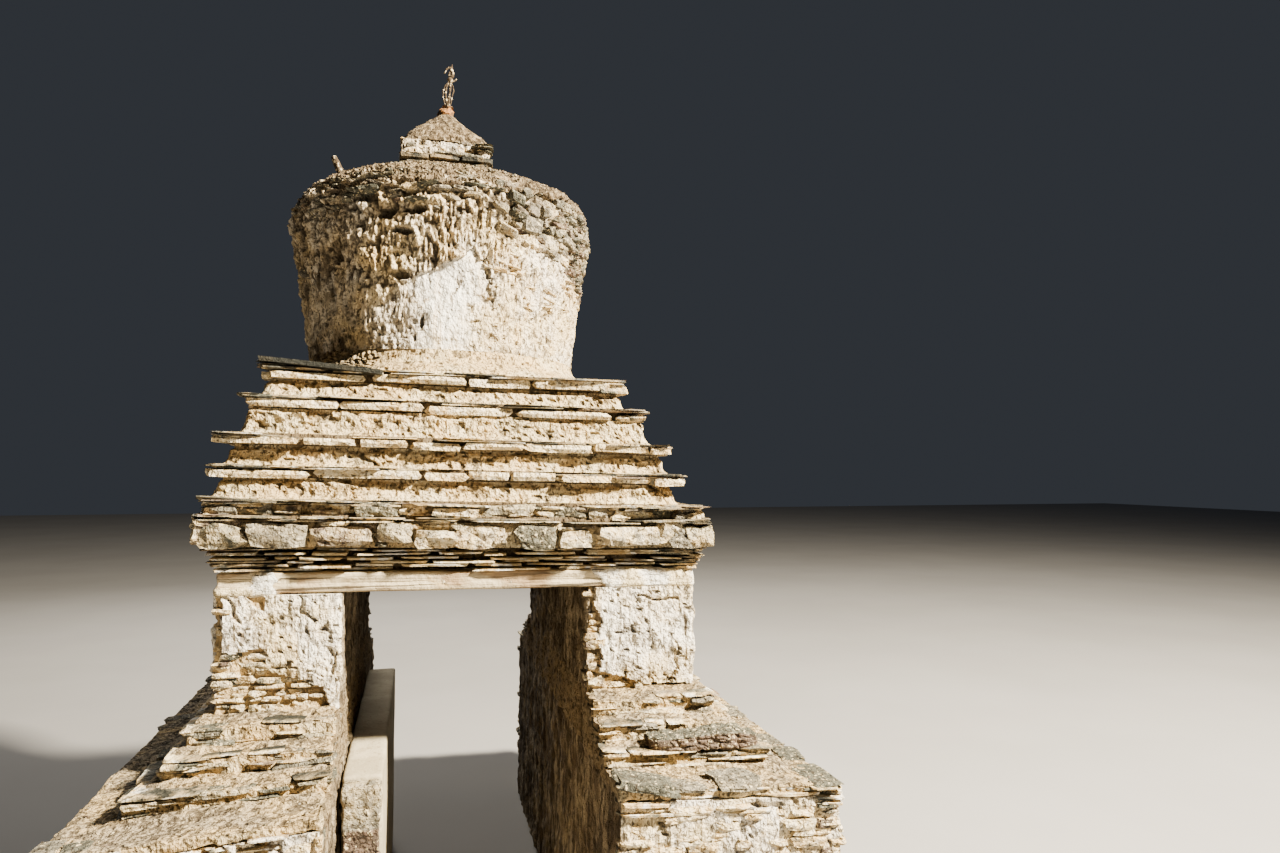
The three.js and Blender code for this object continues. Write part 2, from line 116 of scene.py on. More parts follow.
def lumps(points, size, seed=0):
    """Smooth noise from -1 to 1. size is the lumps' size in metres, one number or three."""
    scaled = points / np.asarray(size)
    low = np.floor(scaled)
    blend = scaled - low
    blend = blend * blend * (3 - 2 * blend)
    cells = low.astype(np.int64)
    total = np.zeros(len(points))
    for corner in np.ndindex(2, 2, 2):
        weight = np.ones(len(points))
        for axis in range(3):
            weight *= blend[:, axis] if corner[axis] else 1 - blend[:, axis]
        x, y, z = (cells + np.array(corner)).T
        total += weight * cell_value(x, y, z, seed)
    return 2 * total - 1


def rough(points, size, octaves=3, seed=0):
    """Lumps with finer lumps on them, from about -1 to 1."""
    total = np.zeros(len(points))
    reach = 1.0
    whole = 0.0
    for octave in range(octaves):
        total += reach * lumps(points, np.asarray(size) / 2 ** octave, seed + 17 * octave)
        whole += reach
        reach *= 0.5
    return total / whole * ROUGH_SCALE


def packed(points, size, seed=0, scatter=0.8):
    """Lumps packed side by side: how deep each point lies inside its own, 0 where two meet."""
    scaled = points / np.asarray(size)
    cells = np.floor(scaled).astype(np.int64)
    first = np.full(len(points), 9.0)
    second = first.copy()
    for step in np.ndindex(3, 3, 3):
        x, y, z = (cells + np.array(step) - 1).T
        away = np.zeros(len(points))
        for axis, whole in enumerate((x, y, z)):
            centre = whole + 0.5 + scatter * (cell_value(x, y, z, seed + axis) - 0.5)
            away += (scaled[:, axis] - centre) ** 2
        distance = np.sqrt(away)
        second = np.where(distance < first, first, np.minimum(second, distance))
        first = np.minimum(first, distance)
    return second - first


def fade(values, low, high):
    """0 below low, 1 above high, with an S curve between."""
    t = np.clip((values - low) / (high - low), 0, 1)
    return t * t * (3 - 2 * t)


def from_path(across, height, path):
    """Distance from points on a wall to a drawn line of (across, height) corners."""
    nearest = np.full(len(across), 9.0)
    for (x0, z0), (x1, z1) in zip(path, path[1:]):
        run = x1 - x0
        rise = z1 - z0
        t = ((across - x0) * run + (height - z0) * rise) / (run ** 2 + rise ** 2)
        t = np.clip(t, 0, 1)
        nearest = np.minimum(nearest, np.hypot(across - x0 - t * run, height - z0 - t * rise))
    return nearest


def inside_path(across, height, path):
    """1 inside a closed line of (across, height) corners, 0 outside it."""
    inside = np.zeros(len(across), dtype=bool)
    for (x0, z0), (x1, z1) in zip(path, path[1:] + path[:1]):
        crosses = (z0 > height) != (z1 > height)
        at = x0 + (height - z0) * (x1 - x0) / ((z1 - z0) or 1e-9)
        inside ^= crosses & (across < at)
    return inside.astype(float)


# Mesh helpers

def box_of(*nodes):
    """Lowest and highest corner of these CAD nodes together."""
    corners = [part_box(node) for node in nodes]
    low = np.min([corner[0] for corner in corners], axis=0)
    high = np.max([corner[1] for corner in corners], axis=0)
    return np.array(low, dtype=float), np.array(high, dtype=float)


def foot_of(low, high):
    """Middle of a box's underside."""
    middle = (low + high) / 2
    middle[2] = low[2]
    return middle


def points_of(mesh):
    flat = np.empty(len(mesh.vertices) * 3, dtype=np.float32)
    mesh.vertices.foreach_get("co", flat)
    return flat.reshape(-1, 3).astype(float)


def move_points(mesh, points):
    mesh.vertices.foreach_set("co", points.astype(np.float32).ravel())
    mesh.update()


def paint(mesh, **layers):
    """Stores one number a point under each name, for the materials to read."""
    for name, values in layers.items():
        layer = mesh.attributes.new(name, "FLOAT", "POINT")
        values = np.broadcast_to(np.asarray(values, dtype=np.float32), len(mesh.vertices))
        layer.data.foreach_set("value", np.ascontiguousarray(values))


def to_mesh(bm, name):
    mesh = bpy.data.meshes.new(name)
    bm.to_mesh(mesh)
    bm.free()
    return mesh


def cut_block(low, high, counts):
    """A box whose sides are cut into counts cells along X, Y and Z."""
    bm = bmesh.new()
    bmesh.ops.create_cube(bm, size=1)
    bmesh.ops.scale(bm, vec=Vector(high - low), verts=bm.verts)
    bmesh.ops.translate(bm, vec=Vector((low + high) / 2), verts=bm.verts)
    for axis, count in enumerate(counts):
        if count < 2:
            continue
        along = [e for e in bm.edges if abs(e.verts[0].co[axis] - e.verts[1].co[axis]) > 1e-5]
        bmesh.ops.subdivide_edges(bm, edges=along, cuts=count - 1, use_grid_fill=True)
    bm.normal_update()
    return bm


def flatten_cells(bm, side, low, high):
    """Makes one face of the cells of the top (side 1) or underside (-1) between two corners."""
    hidden = []
    for face in bm.faces:
        centre = face.calc_center_median()
        within = low[0] < centre.x < high[0] and low[1] < centre.y < high[1]
        if face.normal.z * side > 0.5 and within:
            hidden.append(face)
    bmesh.ops.delete(bm, geom=hidden, context="FACES")
    rims = [edge for edge in bm.edges if edge.is_boundary]
    bmesh.ops.holes_fill(bm, edges=rims, sides=0)
    bmesh.ops.recalc_face_normals(bm, faces=bm.faces)


def block(low, high, cell, covered=None):
    """A box cut into cells about cell wide. Its underside is one face, and so is the part of
    its top that another piece covers: all of it, unless covered gives that part's corners."""
    counts = [max(1, round(size / cell)) for size in high - low]
    bm = cut_block(low, high, counts)
    flatten_cells(bm, -1, low, high)
    cover_low, cover_high = (low, high) if covered is None else covered
    flatten_cells(bm, 1, cover_low, cover_high)
    return bm


def soften(points, low, high, radius, upright=True):
    """Rounds a box's corners. Returns the new points and the direction outwards at each."""
    inset = np.array([radius, radius, 0 if upright else radius])
    nearest = np.clip(points, low + inset, high - inset)
    away = points - nearest
    length = np.linalg.norm(away, axis=1, keepdims=True)
    outward = away / np.maximum(length, 1e-9)
    return nearest + outward * np.minimum(length, radius), outward


def rounded_block(name, low, high, cell, radius, upright=True, covered=None):
    """A block's mesh, its points with the corners rounded, and the way out at each."""
    mesh = to_mesh(block(low, high, cell, covered), name)
    points, outward = soften(points_of(mesh), low, high, radius, upright)
    return mesh, points, outward


def spun(profile, cell, middle):
    """A closed solid turned from a list of (radius, height) points round an upright axis that
    stands on middle."""
    widest = max(radius for radius, height in profile)
    steps = round(2 * math.pi * widest / cell)
    bm = bmesh.new()
    ring = [bm.verts.new((radius, 0, height)) for radius, height in profile]
    edges = [bm.edges.new(pair) for pair in zip(ring, ring[1:])]
    bmesh.ops.spin(
        bm, geom=ring + edges, cent=(0, 0, 0), axis=(0, 0, 1),
        angle=2 * math.pi, steps=steps, use_merge=True,
    )
    bmesh.ops.remove_doubles(bm, verts=bm.verts, dist=1e-5)
    rims = [edge for edge in bm.edges if edge.is_boundary]
    bmesh.ops.holes_fill(bm, edges=rims, sides=0)
    bmesh.ops.recalc_face_normals(bm, faces=bm.faces)
    bmesh.ops.translate(bm, vec=Vector(middle), verts=bm.verts)
    return bm


def curve_through(corners, cell):
    """A smooth outline through (radius, height) corners, with points about a cell apart."""
    corners = [np.array(corner, dtype=float) for corner in corners]
    ends = [2 * corners[0] - corners[1]] + corners + [2 * corners[-1] - corners[-2]]
    outline = []
    for p0, p1, p2, p3 in zip(ends, ends[1:], ends[2:], ends[3:]):
        steps = max(1, round(np.linalg.norm(p2 - p1) / cell))
        for step in range(steps):
            t = step / steps
            bend = 2 * p0 - 5 * p1 + 4 * p2 - p3
            twist = 3 * p1 - p0 - 3 * p2 + p3
            point = 0.5 * (2 * p1 + (p2 - p0) * t + bend * t ** 2 + twist * t ** 3)
            outline.append((max(0.004, point[0]), point[1]))
    outline.append(tuple(corners[-1]))
    return outline


def around(points, middle):
    """Each point's angle from the front to the right, its distance and its way out."""
    away = points[:, :2] - np.array(middle)[:2]
    angle = np.arctan2(away[:, 0], -away[:, 1])
    outward = np.stack([np.sin(angle), -np.cos(angle), np.zeros(len(angle))], axis=1)
    return angle, np.hypot(away[:, 0], away[:, 1]), outward


def gather_at_front(points, middle, share=0.35):
    """Turns the points of a round piece so that they lie closer together at its front."""
    angle, radius, _ = around(points, middle)
    turned = angle - share * np.sin(angle)
    gathered = points.copy()
    gathered[:, 0] = middle[0] + radius * np.sin(turned)
    gathered[:, 1] = middle[1] - radius * np.cos(turned)
    return gathered


def rod(bm, path, radii, sides=8):
    """A bar along a path of points, as thick at each as radii says, with closed ends."""
    rings = []
    for index, (place, radius) in enumerate(zip(path, radii)):
        before = Vector(path[max(0, index - 1)])
        after = Vector(path[min(len(path) - 1, index + 1)])
        turn = (after - before).to_track_quat("Z", "X").to_matrix().to_4x4()
        made = len(bm.edges)
        bmesh.ops.create_circle(
            bm, radius=radius, segments=sides, matrix=Matrix.Translation(place) @ turn,
        )
        bm.edges.ensure_lookup_table()
        rings.append(bm.edges[made:])
    for lower, upper in zip(rings, rings[1:]):
        bmesh.ops.bridge_loops(bm, edges=lower + upper)
    bmesh.ops.holes_fill(bm, edges=rings[0] + rings[-1], sides=0)
    bmesh.ops.recalc_face_normals(bm, faces=bm.faces)


def settle(points):
    """Moves points as the old building has settled, and holds them inside its whole box."""
    x = points[:, 0]
    height = points[:, 2]
    tower = np.interp(height, *TOWER_SINKS) * (TOWER_SINK + TOWER_SLOPE * x)
    outer = np.clip((np.abs(x) - PASSAGE_HALF_WIDTH) / PLINTH_WIDTH, 0, 1)
    rim = np.interp(height, *RIM_SINKS) * RIM_SINK * outer
    settled = points - np.stack([0 * x, 0 * x, tower + rim], axis=1)
    return np.clip(settled, np.array(cad_box[0]), np.array(cad_box[1]))


def add_piece(name, mesh, slot, nodes=(), smooth=False):
    """Makes a settled mesh a piece of the building, with the finish of its slot. nodes are
    the CAD nodes that it stands for."""
    move_points(mesh, settle(points_of(mesh)))
    mesh.polygons.foreach_set("use_smooth", np.full(len(mesh.polygons), smooth))
    mesh.materials.append(FINISHES[slot])
    piece = bpy.data.objects.new(name, mesh)
    bpy.context.collection.objects.link(piece)
    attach(piece, "root")
    if nodes:
        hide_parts(*nodes)
    return piece


# Loose shapes that are laid many times over

def slate_shape():
    """A flat slab, rounded in plan and thinner at its edges."""
    bm = cut_block(np.full(3, -0.5), np.full(3, 0.5), (5, 2, 1))
    for vert in bm.verts:
        x, y = abs(2 * vert.co.x), abs(2 * vert.co.y)
        edge = max(x, y)
        worn = edge / max(1e-6, (x ** 7 + y ** 7) ** (1 / 7))
        vert.co.x *= worn
        vert.co.y *= worn
        vert.co.z *= 1 - 0.40 * edge ** 6
    return bm


def stone_shape(roundness, counts=(4, 2, 3)):
    """A block blown out towards an egg. A low roundness is nearer the egg."""
    bm = cut_block(np.full(3, -0.5), np.full(3, 0.5), counts)
    for vert in bm.verts:
        parts = [abs(2 * part) for part in vert.co]
        worn = max(parts) / sum(part ** roundness for part in parts) ** (1 / roundness)
        vert.co *= worn
    return bm


def pebble_shape():
    bm = bmesh.new()
    bmesh.ops.create_icosphere(bm, subdivisions=1, radius=0.5)
    return bm


def lay_stones(name, shape, places, slot, seed, jag, nodes=()):
    """Joins one copy of a shape at each place. A place is its middle, the three edges of its
    box, how much limewash is on it and its tone. jag is how uneven it is, as a share of its
    size."""
    template = to_mesh(shape, name + "_shape")
    base = points_of(template)
    faces = np.array([list(polygon.vertices) for polygon in template.polygons])
    bpy.data.meshes.remove(template)
    count = len(places)
    rng = np.random.default_rng(seed)
    shifts = rng.uniform(0, 90, (count, 1, 3))
    spread = (base[None, :, :] * 2.2 + shifts).reshape(-1, 3)
    uneven = np.stack([rough(spread, 1.0, 2, seed + axis) for axis in range(3)], axis=1)
    local = np.tile(base, (count, 1)) + jag * uneven
    axes = np.repeat(np.array([place[1] for place in places]), len(base), axis=0)
    middles = np.repeat(np.array([place[0] for place in places]), len(base), axis=0)
    points = np.einsum("pi,pij->pj", local, axes) + middles
    mesh = bpy.data.meshes.new(name)
    copies = faces[None, :, :] + (len(base) * np.arange(count))[:, None, None]
    mesh.from_pydata(points.tolist(), [], copies.reshape(-1, faces.shape[1]).tolist())
    mesh.update()
    nose = fade(np.tile(-base[:, 1], count), -0.1, 0.45)
    wash = np.repeat(np.array([place[2] for place in places]), len(base))
    tones = rng.uniform(0, 1, count)
    given = np.array([-1.0 if place[3] is None else place[3] for place in places])
    tone = np.repeat(np.where(given < 0, tones, given), len(base))
    paint(mesh, tone=tone, wash=wash * nose)
    return add_piece(name, mesh, slot, nodes)


def place_on(centre, run, inward, sizes, turn=0.0, droop=0.0, roll=0.0, wash=0.5, tone=None):
    """The place of one stone. run points along the wall, and inward into it."""
    width, deep, thick = sizes
    up = np.array([0.0, 0.0, 1.0])
    along = run * math.cos(turn) - inward * math.sin(turn) + up * roll
    inner = inward * math.cos(turn) + run * math.sin(turn) + up * droop
    return centre, np.array([along * width, inner * deep, up * thick]), wash, tone


def side_frames(low, high):
    """Middle of the face, way along, way out and length, for the four sides of a course."""
    middle = (low + high) / 2
    half = (high - low) / 2
    sides = []
    for quarter in range(4):
        angle = quarter * math.pi / 2
        along = np.array([math.cos(angle), math.sin(angle), 0.0])
        out = np.array([math.sin(angle), -math.cos(angle), 0.0])
        sides.append((middle + out * abs(out @ half), along, out, 2 * abs(along @ half)))
    return sides


def lay_row(rng, low, high, row, sides=(0, 1, 2, 3), keep=None):
    """Places for one layer round a course. row gives its height, and the ranges of the
    stones' thickness, length, reach beyond the course, depth and limewash."""
    places = []
    tilt = row.get("tilt", 0.03)
    frames = side_frames(low, high)
    for number in sides:
        middle, run, out, length = frames[number]
        at = -length / 2 + rng.uniform(-0.012, 0.025)
        end = length / 2 - rng.uniform(-0.012, 0.025)
        while at < end - 0.03:
            width = rng.uniform(*row["length"])
            if at + width > end - 0.5 * row["length"][0]:
                width = end - at
            thick = rng.uniform(*row["thick"])
            deep = rng.uniform(*row["depth"])
            reach = rng.uniform(*row["reach"])
            centre = middle + run * (at + width / 2) + out * (reach - deep / 2)
            centre[2] = row["at"] + thick / 2 + rng.uniform(-0.2, 0.2) * thick
            turn = rng.uniform(-0.09, 0.09)
            droop, roll = rng.uniform(-tilt, tilt, 2)
            wash = rng.uniform(*row["wash"])
            tone = rng.uniform(*row["tone"]) if "tone" in row else None
            at += width + rng.uniform(-0.01, row.get("gap", 0.02))
            gone = rng.uniform() < row.get("missing", 0)
            if gone or (keep is not None and not keep(centre)):
                continue
            places.append(place_on(
                centre, run, -out, (width, deep, thick), turn, droop, 0.5 * roll, wash, tone,
            ))
    return places


def corner_tips(rng, low, high, at, reach):
    """Long thin slates that stick out beyond the corners of a course."""
    places = []
    middle = (low + high) / 2
    half = (high - low) / 2
    for sign in ((-1, -1), (1, -1), (1, 1), (-1, 1)):
        corner = middle + half * np.array([*sign, 0])
        for axis in (0, 1, 0):
            length = rng.uniform(0.30, 0.55)
            deep = rng.uniform(0.12, 0.22)
            run = np.zeros(3)
            run[axis] = sign[axis]
            inward = np.zeros(3)
            inward[1 - axis] = -sign[1 - axis]
            centre = corner - run * (length / 2 - rng.uniform(0.2, 1.0) * reach)
            centre = centre + inward * (deep / 2 - rng.uniform(-0.2, 0.5) * reach)
            centre[2] = at + rng.uniform(-0.014, 0.008)
            places.append(place_on(
                centre, run, inward, (length, deep, rng.uniform(0.009, 0.015)),
                rng.uniform(-0.15, 0.15), 0.0, rng.uniform(-0.02, 0.06), rng.uniform(0, 0.3),
            ))
    return places


# Material helpers

class Finish:
    """A material, and the few kinds of node that it is put together from."""

    def __init__(self, name, roughness):
        self.material = bpy.data.materials.new(name)
        self.material.use_nodes = True
        self.tree = self.material.node_tree
        self.shader = self.tree.nodes["Principled BSDF"]
        self.shader.inputs["Roughness"].default_value = roughness
        self.shader.inputs["Specular IOR Level"].default_value = 0.2
        self.place = self.tree.nodes.new("ShaderNodeTexCoord").outputs["Object"]

    def node(self, kind, **values):
        node = self.tree.nodes.new(kind)
        for name, value in values.items():
            setattr(node, name, value)
        return node

    def link(self, source, socket):
        if hasattr(source, "is_output"):
            self.tree.links.new(source, socket)
        else:
            socket.default_value = source

    def mapped(self, size, stretch, shift):
        mapping = self.node("ShaderNodeMapping")
        self.link(self.place, mapping.inputs["Vector"])
        mapping.inputs["Scale"].default_value = [part / size for part in stretch]
        mapping.inputs["Location"].default_value = (shift, shift * 0.7, shift * 0.3)
        return mapping.outputs["Vector"]

    def grain(self, size, detail=4.0, stretch=(1, 1, 1), shift=0.0, roughness=0.6):
        """Cloudy noise of a size in metres, around 0.5."""
        noise = self.node("ShaderNodeTexNoise")
        self.link(self.mapped(size, stretch, shift), noise.inputs["Vector"])
        noise.inputs["Scale"].default_value = 1
        noise.inputs["Detail"].default_value = detail
        noise.inputs["Roughness"].default_value = roughness
        return noise.outputs["Fac"]

    def cells(self, size, shift=0.0, output="Distance"):
        """Packed cells of a size in metres: how far from its middle, or a tone for each."""
        cells = self.node("ShaderNodeTexVoronoi")
        self.link(self.mapped(size, (1, 1, 1), shift), cells.inputs["Vector"])
        cells.inputs["Scale"].default_value = 1
        return cells.outputs[output]

    def attribute(self, name):
        return self.node("ShaderNodeAttribute", attribute_name=name).outputs["Fac"]

    def spread(self, value, low, high, to_low=0.0, to_high=1.0):
        spread = self.node("ShaderNodeMapRange", interpolation_type="SMOOTHSTEP")
        self.link(value, spread.inputs["Value"])
        spread.inputs["From Min"].default_value = low
        spread.inputs["From Max"].default_value = high
        spread.inputs["To Min"].default_value = to_low
        spread.inputs["To Max"].default_value = to_high
        return spread.outputs["Result"]

    def patches(self, size, low, high, to_low=0.0, to_high=1.0, **grain):
        """Noise of a size in metres, spread out: to_low below low, to_high above high."""
        return self.spread(self.grain(size, **grain), low, high, to_low, to_high)

    def math(self, operation, first, second):
        node = self.node("ShaderNodeMath", operation=operation)
        self.link(first, node.inputs[0])
        self.link(second, node.inputs[1])
        return node.outputs["Value"]

    def times(self, first, second):
        return self.math("MULTIPLY", first, second)

    def blend(self, factor, first, second):
        mix = self.node("ShaderNodeMix", data_type="RGBA")
        self.link(factor, mix.inputs[0])
        for source, socket in ((first, mix.inputs[6]), (second, mix.inputs[7])):
            if isinstance(source, tuple):
                source = (*source, 1.0)
            self.link(source, socket)
        return mix.outputs[2]

    def ragged(self, value, size, width=0.05):
        """Turns a soft 0 to 1 attribute into one with a crisp uneven edge."""
        uneven = self.patches(size, 0.3, 0.7, -0.25, 0.25, detail=4)
        return self.spread(self.math("ADD", value, uneven), 0.5 - width, 0.5 + width)

    def raise_surface(self, heights):
        """Bumps, each a (height, distance in metres), one on another."""
        normal = None
        for height, distance in heights:
            bump = self.node("ShaderNodeBump")
            bump.inputs["Strength"].default_value = 1
            bump.inputs["Distance"].default_value = distance
            self.link(height, bump.inputs["Height"])
            if normal is not None:
                self.link(normal, bump.inputs["Normal"])
            normal = bump.outputs["Normal"]
        self.link(normal, self.shader.inputs["Normal"])

    def done(self, colour):
        self.link(colour, self.shader.inputs["Base Color"])
        return self.material


# Colours

WHITE = (0.84, 0.795, 0.69)
IVORY = (0.76, 0.62, 0.365)
CREAM = (0.64, 0.455, 0.21)
STRAW_MUD = (0.52, 0.36, 0.16)
TAN = (0.38, 0.275, 0.145)
RUST_MUD = (0.27, 0.120, 0.038)
SAND = (0.36, 0.285, 0.18)
EARTH = (0.15, 0.105, 0.058)
DARK_EARTH = (0.035, 0.023, 0.012)
GREY_STONE = (0.25, 0.22, 0.160)
GREEN_STONE = (0.120, 0.115, 0.082)
PURPLE_STONE = (0.17, 0.115, 0.078)
DARK_SLATE = (0.018, 0.018, 0.013)
POPLAR = (0.40, 0.27, 0.145)
OLD_POPLAR = (0.19, 0.13, 0.072)
CEMENT = (0.32, 0.27, 0.175)
PALE_CEMENT = (0.43, 0.365, 0.24)
PALE_WOOD = (0.56, 0.455, 0.285)
WORN_WOOD = (0.050, 0.033, 0.018)
FLOOR = (0.26, 0.25, 0.24)
PALE_FLOOR = (0.28, 0.27, 0.26)


def stone_colour(finish, tone):
    """Field stones in greens, greys and purple browns, by each stone's own tone."""
    colour = finish.blend(finish.spread(tone, 0.15, 0.45), GREEN_STONE, GREY_STONE)
    colour = finish.blend(finish.spread(tone, 0.55, 0.72), colour, PURPLE_STONE)
    colour = finish.blend(finish.spread(tone, 0.85, 0.95), colour, GREY_STONE)
    vein = finish.patches(0.05, 0.35, 0.65, 0.0, 0.6, detail=5, shift=1.0)
    colour = finish.blend(vein, colour, DARK_SLATE)
    speck = finish.patches(0.020, 0.60, 0.66, 0.0, 0.75, detail=2, roughness=0.5)
    return finish.blend(speck, colour, IVORY)


def make_limewash():
    """Thick limewash on rubble and mud. earth turns it to mud plaster, cream tints it, and
    bare turns it to the mud that the stones are bedded in."""
    finish = Finish("limewash", 0.93)
    bare = finish.ragged(finish.attribute("bare"), 0.05)
    earth = finish.ragged(finish.attribute("earth"), 0.09, 0.3)
    cloud = finish.patches(0.4, 0.44, 0.66, detail=6)
    coat = finish.blend(cloud, WHITE, IVORY)
    tint = finish.patches(0.22, 0.35, 0.65, 0.4, 1.0, detail=6, shift=13.0)
    coat = finish.blend(finish.times(tint, finish.attribute("cream")), coat, CREAM)
    streak = finish.patches(0.075, 0.50, 0.70, 0.0, 0.6, detail=5, stretch=(1, 1, 0.10), shift=3.0)
    coat = finish.blend(streak, coat, CREAM)
    rust = finish.patches(0.16, 0.58, 0.72, 0.0, 0.5, detail=5, stretch=(1, 1, 0.5), shift=11.0)
    coat = finish.blend(rust, coat, TAN)
    flaking = finish.patches(0.30, 0.45, 0.62, detail=3, shift=14.0)
    chips = finish.patches(0.028, 0.55, 0.62, detail=5, shift=8.0)
    coat = finish.blend(finish.times(chips, finish.times(flaking, 0.8)), coat, TAN)
    lively = finish.spread(finish.attribute("calm"), 0.0, 1.0, 1.0, 0.0)
    crags = finish.grain(0.045, 4, (1, 1, 0.7), 2.0, 0.58)
    # Painted shade: the low parts of the two bump noises are darkened towards dark earth, as the
    # shadows in the coat's small dips and chips.
    shaded_pits = finish.times(finish.spread(crags, 0.37, 0.43, 1.0, 0.0), lively)
    fine = finish.grain(0.020, 3, (1, 1, 0.55), 4.0, 0.55)
    shaded_nicks = finish.times(finish.spread(fine, 0.37, 0.43, 1.0, 0.0), lively)
    coat = finish.blend(finish.times(shaded_pits, 0.70), coat, DARK_EARTH)
    coat = finish.blend(finish.times(shaded_nicks, 0.75), coat, DARK_EARTH)
    drips = finish.grain(0.024, 3, (1, 1, 0.14), 31.0, 0.5)
    dripped = finish.patches(0.25, 0.46, 0.60, 0.0, 0.75, detail=4, shift=33.0)
    coat = finish.blend(finish.times(finish.spread(drips, 0.58, 0.63), dripped), coat, EARTH)
    speckle = finish.patches(0.017, 0.64, 0.69, 0.0, 0.85, detail=2, shift=21.0, roughness=0.5)
    coat = finish.blend(speckle, coat, DARK_EARTH)
    mud = finish.blend(finish.patches(0.2, 0.36, 0.62, detail=6, shift=5.0), EARTH, SAND)
    drip = finish.patches(0.045, 0.40, 0.60, 0.0, 0.85, detail=5, stretch=(1, 1, 0.16), shift=6.0)
    mud = finish.blend(drip, mud, DARK_EARTH)
    coat = finish.blend(earth, coat, mud)
    bedding = finish.blend(finish.patches(0.10, 0.4, 0.6, detail=5, shift=9.0), CREAM, TAN)
    # Painted shade: the attribute read here darkens the bedding and the coat in dips, cracks and
    # gaps between stones.
    shade = finish.attribute("hollow")
    bedding = finish.blend(finish.times(shade, 0.7), bedding, EARTH)
    colour = finish.blend(bare, coat, bedding)
    colour = finish.blend(finish.times(shade, 0.85), colour, DARK_EARTH)
    finish.raise_surface([
        (finish.times(crags, lively), 0.075),
        (finish.times(fine, lively), 0.026),
        (finish.grain(0.045, 5, shift=23.0), 0.012),
    ])
    return finish.done(colour)


def make_mud():
    """Mud plaster with straw pores, grit and rusty tints. grit 1 is coarse sandy mud."""
    finish = Finish("mud_plaster", 0.96)
    grit = finish.attribute("grit")
    cloud = finish.patches(0.20, 0.40, 0.64, detail=6)
    coat = finish.blend(cloud, CREAM, IVORY)
    rust = finish.patches(0.11, 0.56, 0.70, 0.0, 0.5, detail=5, shift=7.0)
    coat = finish.blend(rust, coat, STRAW_MUD)
    sandy = finish.blend(finish.patches(0.3, 0.4, 0.6, detail=6, shift=3.0), SAND, CREAM)
    coat = finish.blend(grit, coat, sandy)
    coat = finish.blend(finish.attribute("dark"), coat, EARTH)
    gravel = finish.cells(0.020, shift=2.0, output="Color")
    light = finish.times(finish.spread(gravel, 0.56, 0.64), finish.times(grit, 0.45))
    coat = finish.blend(light, coat, SAND)
    shade = finish.times(finish.spread(gravel, 0.38, 0.46, 1.0, 0.0), finish.times(grit, 0.7))
    coat = finish.blend(shade, coat, DARK_EARTH)
    crags = finish.grain(0.045, 4, (1, 1, 0.8), 2.0, 0.58)
    shaded_pits = finish.spread(crags, 0.37, 0.43, 1.0, 0.0)
    fine = finish.grain(0.020, 3, (1, 1, 0.6), 4.0, 0.55)
    shaded_pores = finish.spread(fine, 0.37, 0.43, 1.0, 0.0)
    # Painted shade: the low parts of the two bump noises are darkened as the shadows in the mud's
    # small dips and pockmarks.
    coat = finish.blend(finish.times(shaded_pits, 0.75), coat, DARK_EARTH)
    coat = finish.blend(finish.times(shaded_pores, 0.80), coat, DARK_EARTH)
    straw = finish.spread(finish.grain(0.016, 2, (1, 1, 0.5), 17.0, 0.5), 0.63, 0.68, 0.0, 0.75)
    coat = finish.blend(straw, coat, DARK_EARTH)
    # Painted shade: the attribute read here darkens the dips of the mud.
    colour = finish.blend(finish.times(finish.attribute("hollow"), 0.85), coat, DARK_EARTH)
    finish.raise_surface([
        (crags, 0.070),
        (fine, 0.025),
        (finish.times(gravel, grit), 0.010),
    ])
    return finish.done(colour)


def wash_over(finish, patch, thin, stone, coat):
    """Stone with limewash left on it in patches, and all over where the wash is thick. thin is
    the range of wash from which the patches show."""
    wash = finish.attribute("wash")
    washed = finish.times(patch, finish.spread(wash, *thin))
    thick = finish.spread(wash, 0.80, 0.93)
    return finish.blend(finish.math("MAXIMUM", washed, thick), stone, coat)


def make_slate():
    """Split slate, dark on top, with limewash and mud left on its outer edge."""
    finish = Finish("slate", 0.80)
    tone = finish.attribute("tone")
    stone = finish.blend(finish.spread(tone, 0.3, 0.7), DARK_SLATE, GREEN_STONE)
    stone = finish.blend(finish.spread(tone, 0.80, 0.92), stone, PURPLE_STONE)
    layers = finish.grain(0.010, 4, (0.10, 0.10, 1.5))
    bands = finish.times(finish.spread(layers, 0.48, 0.68, 0.0, 0.6), finish.spread(tone, 0.0, 0.3))
    stone = finish.blend(bands, stone, GREY_STONE)
    dust = finish.patches(0.10, 0.47, 0.60, 0.0, 0.8, detail=6, shift=4.0)
    dust = finish.times(dust, finish.spread(tone, 0.05, 0.35, 0.05, 1.0))
    stone = finish.blend(dust, stone, TAN)
    patch = finish.patches(0.05, 0.36, 0.50, detail=6, shift=1.0)
    coat = finish.blend(finish.patches(0.16, 0.42, 0.58, detail=5), CREAM, IVORY)
    coat = finish.blend(finish.patches(0.09, 0.50, 0.60, detail=5, shift=6.0), coat, WHITE)
    colour = wash_over(finish, patch, (0.1, 0.6), stone, coat)
    finish.raise_surface([
        (layers, 0.022),
        (finish.grain(0.030, 4, roughness=0.58), 0.034),
    ])
    return finish.done(colour)


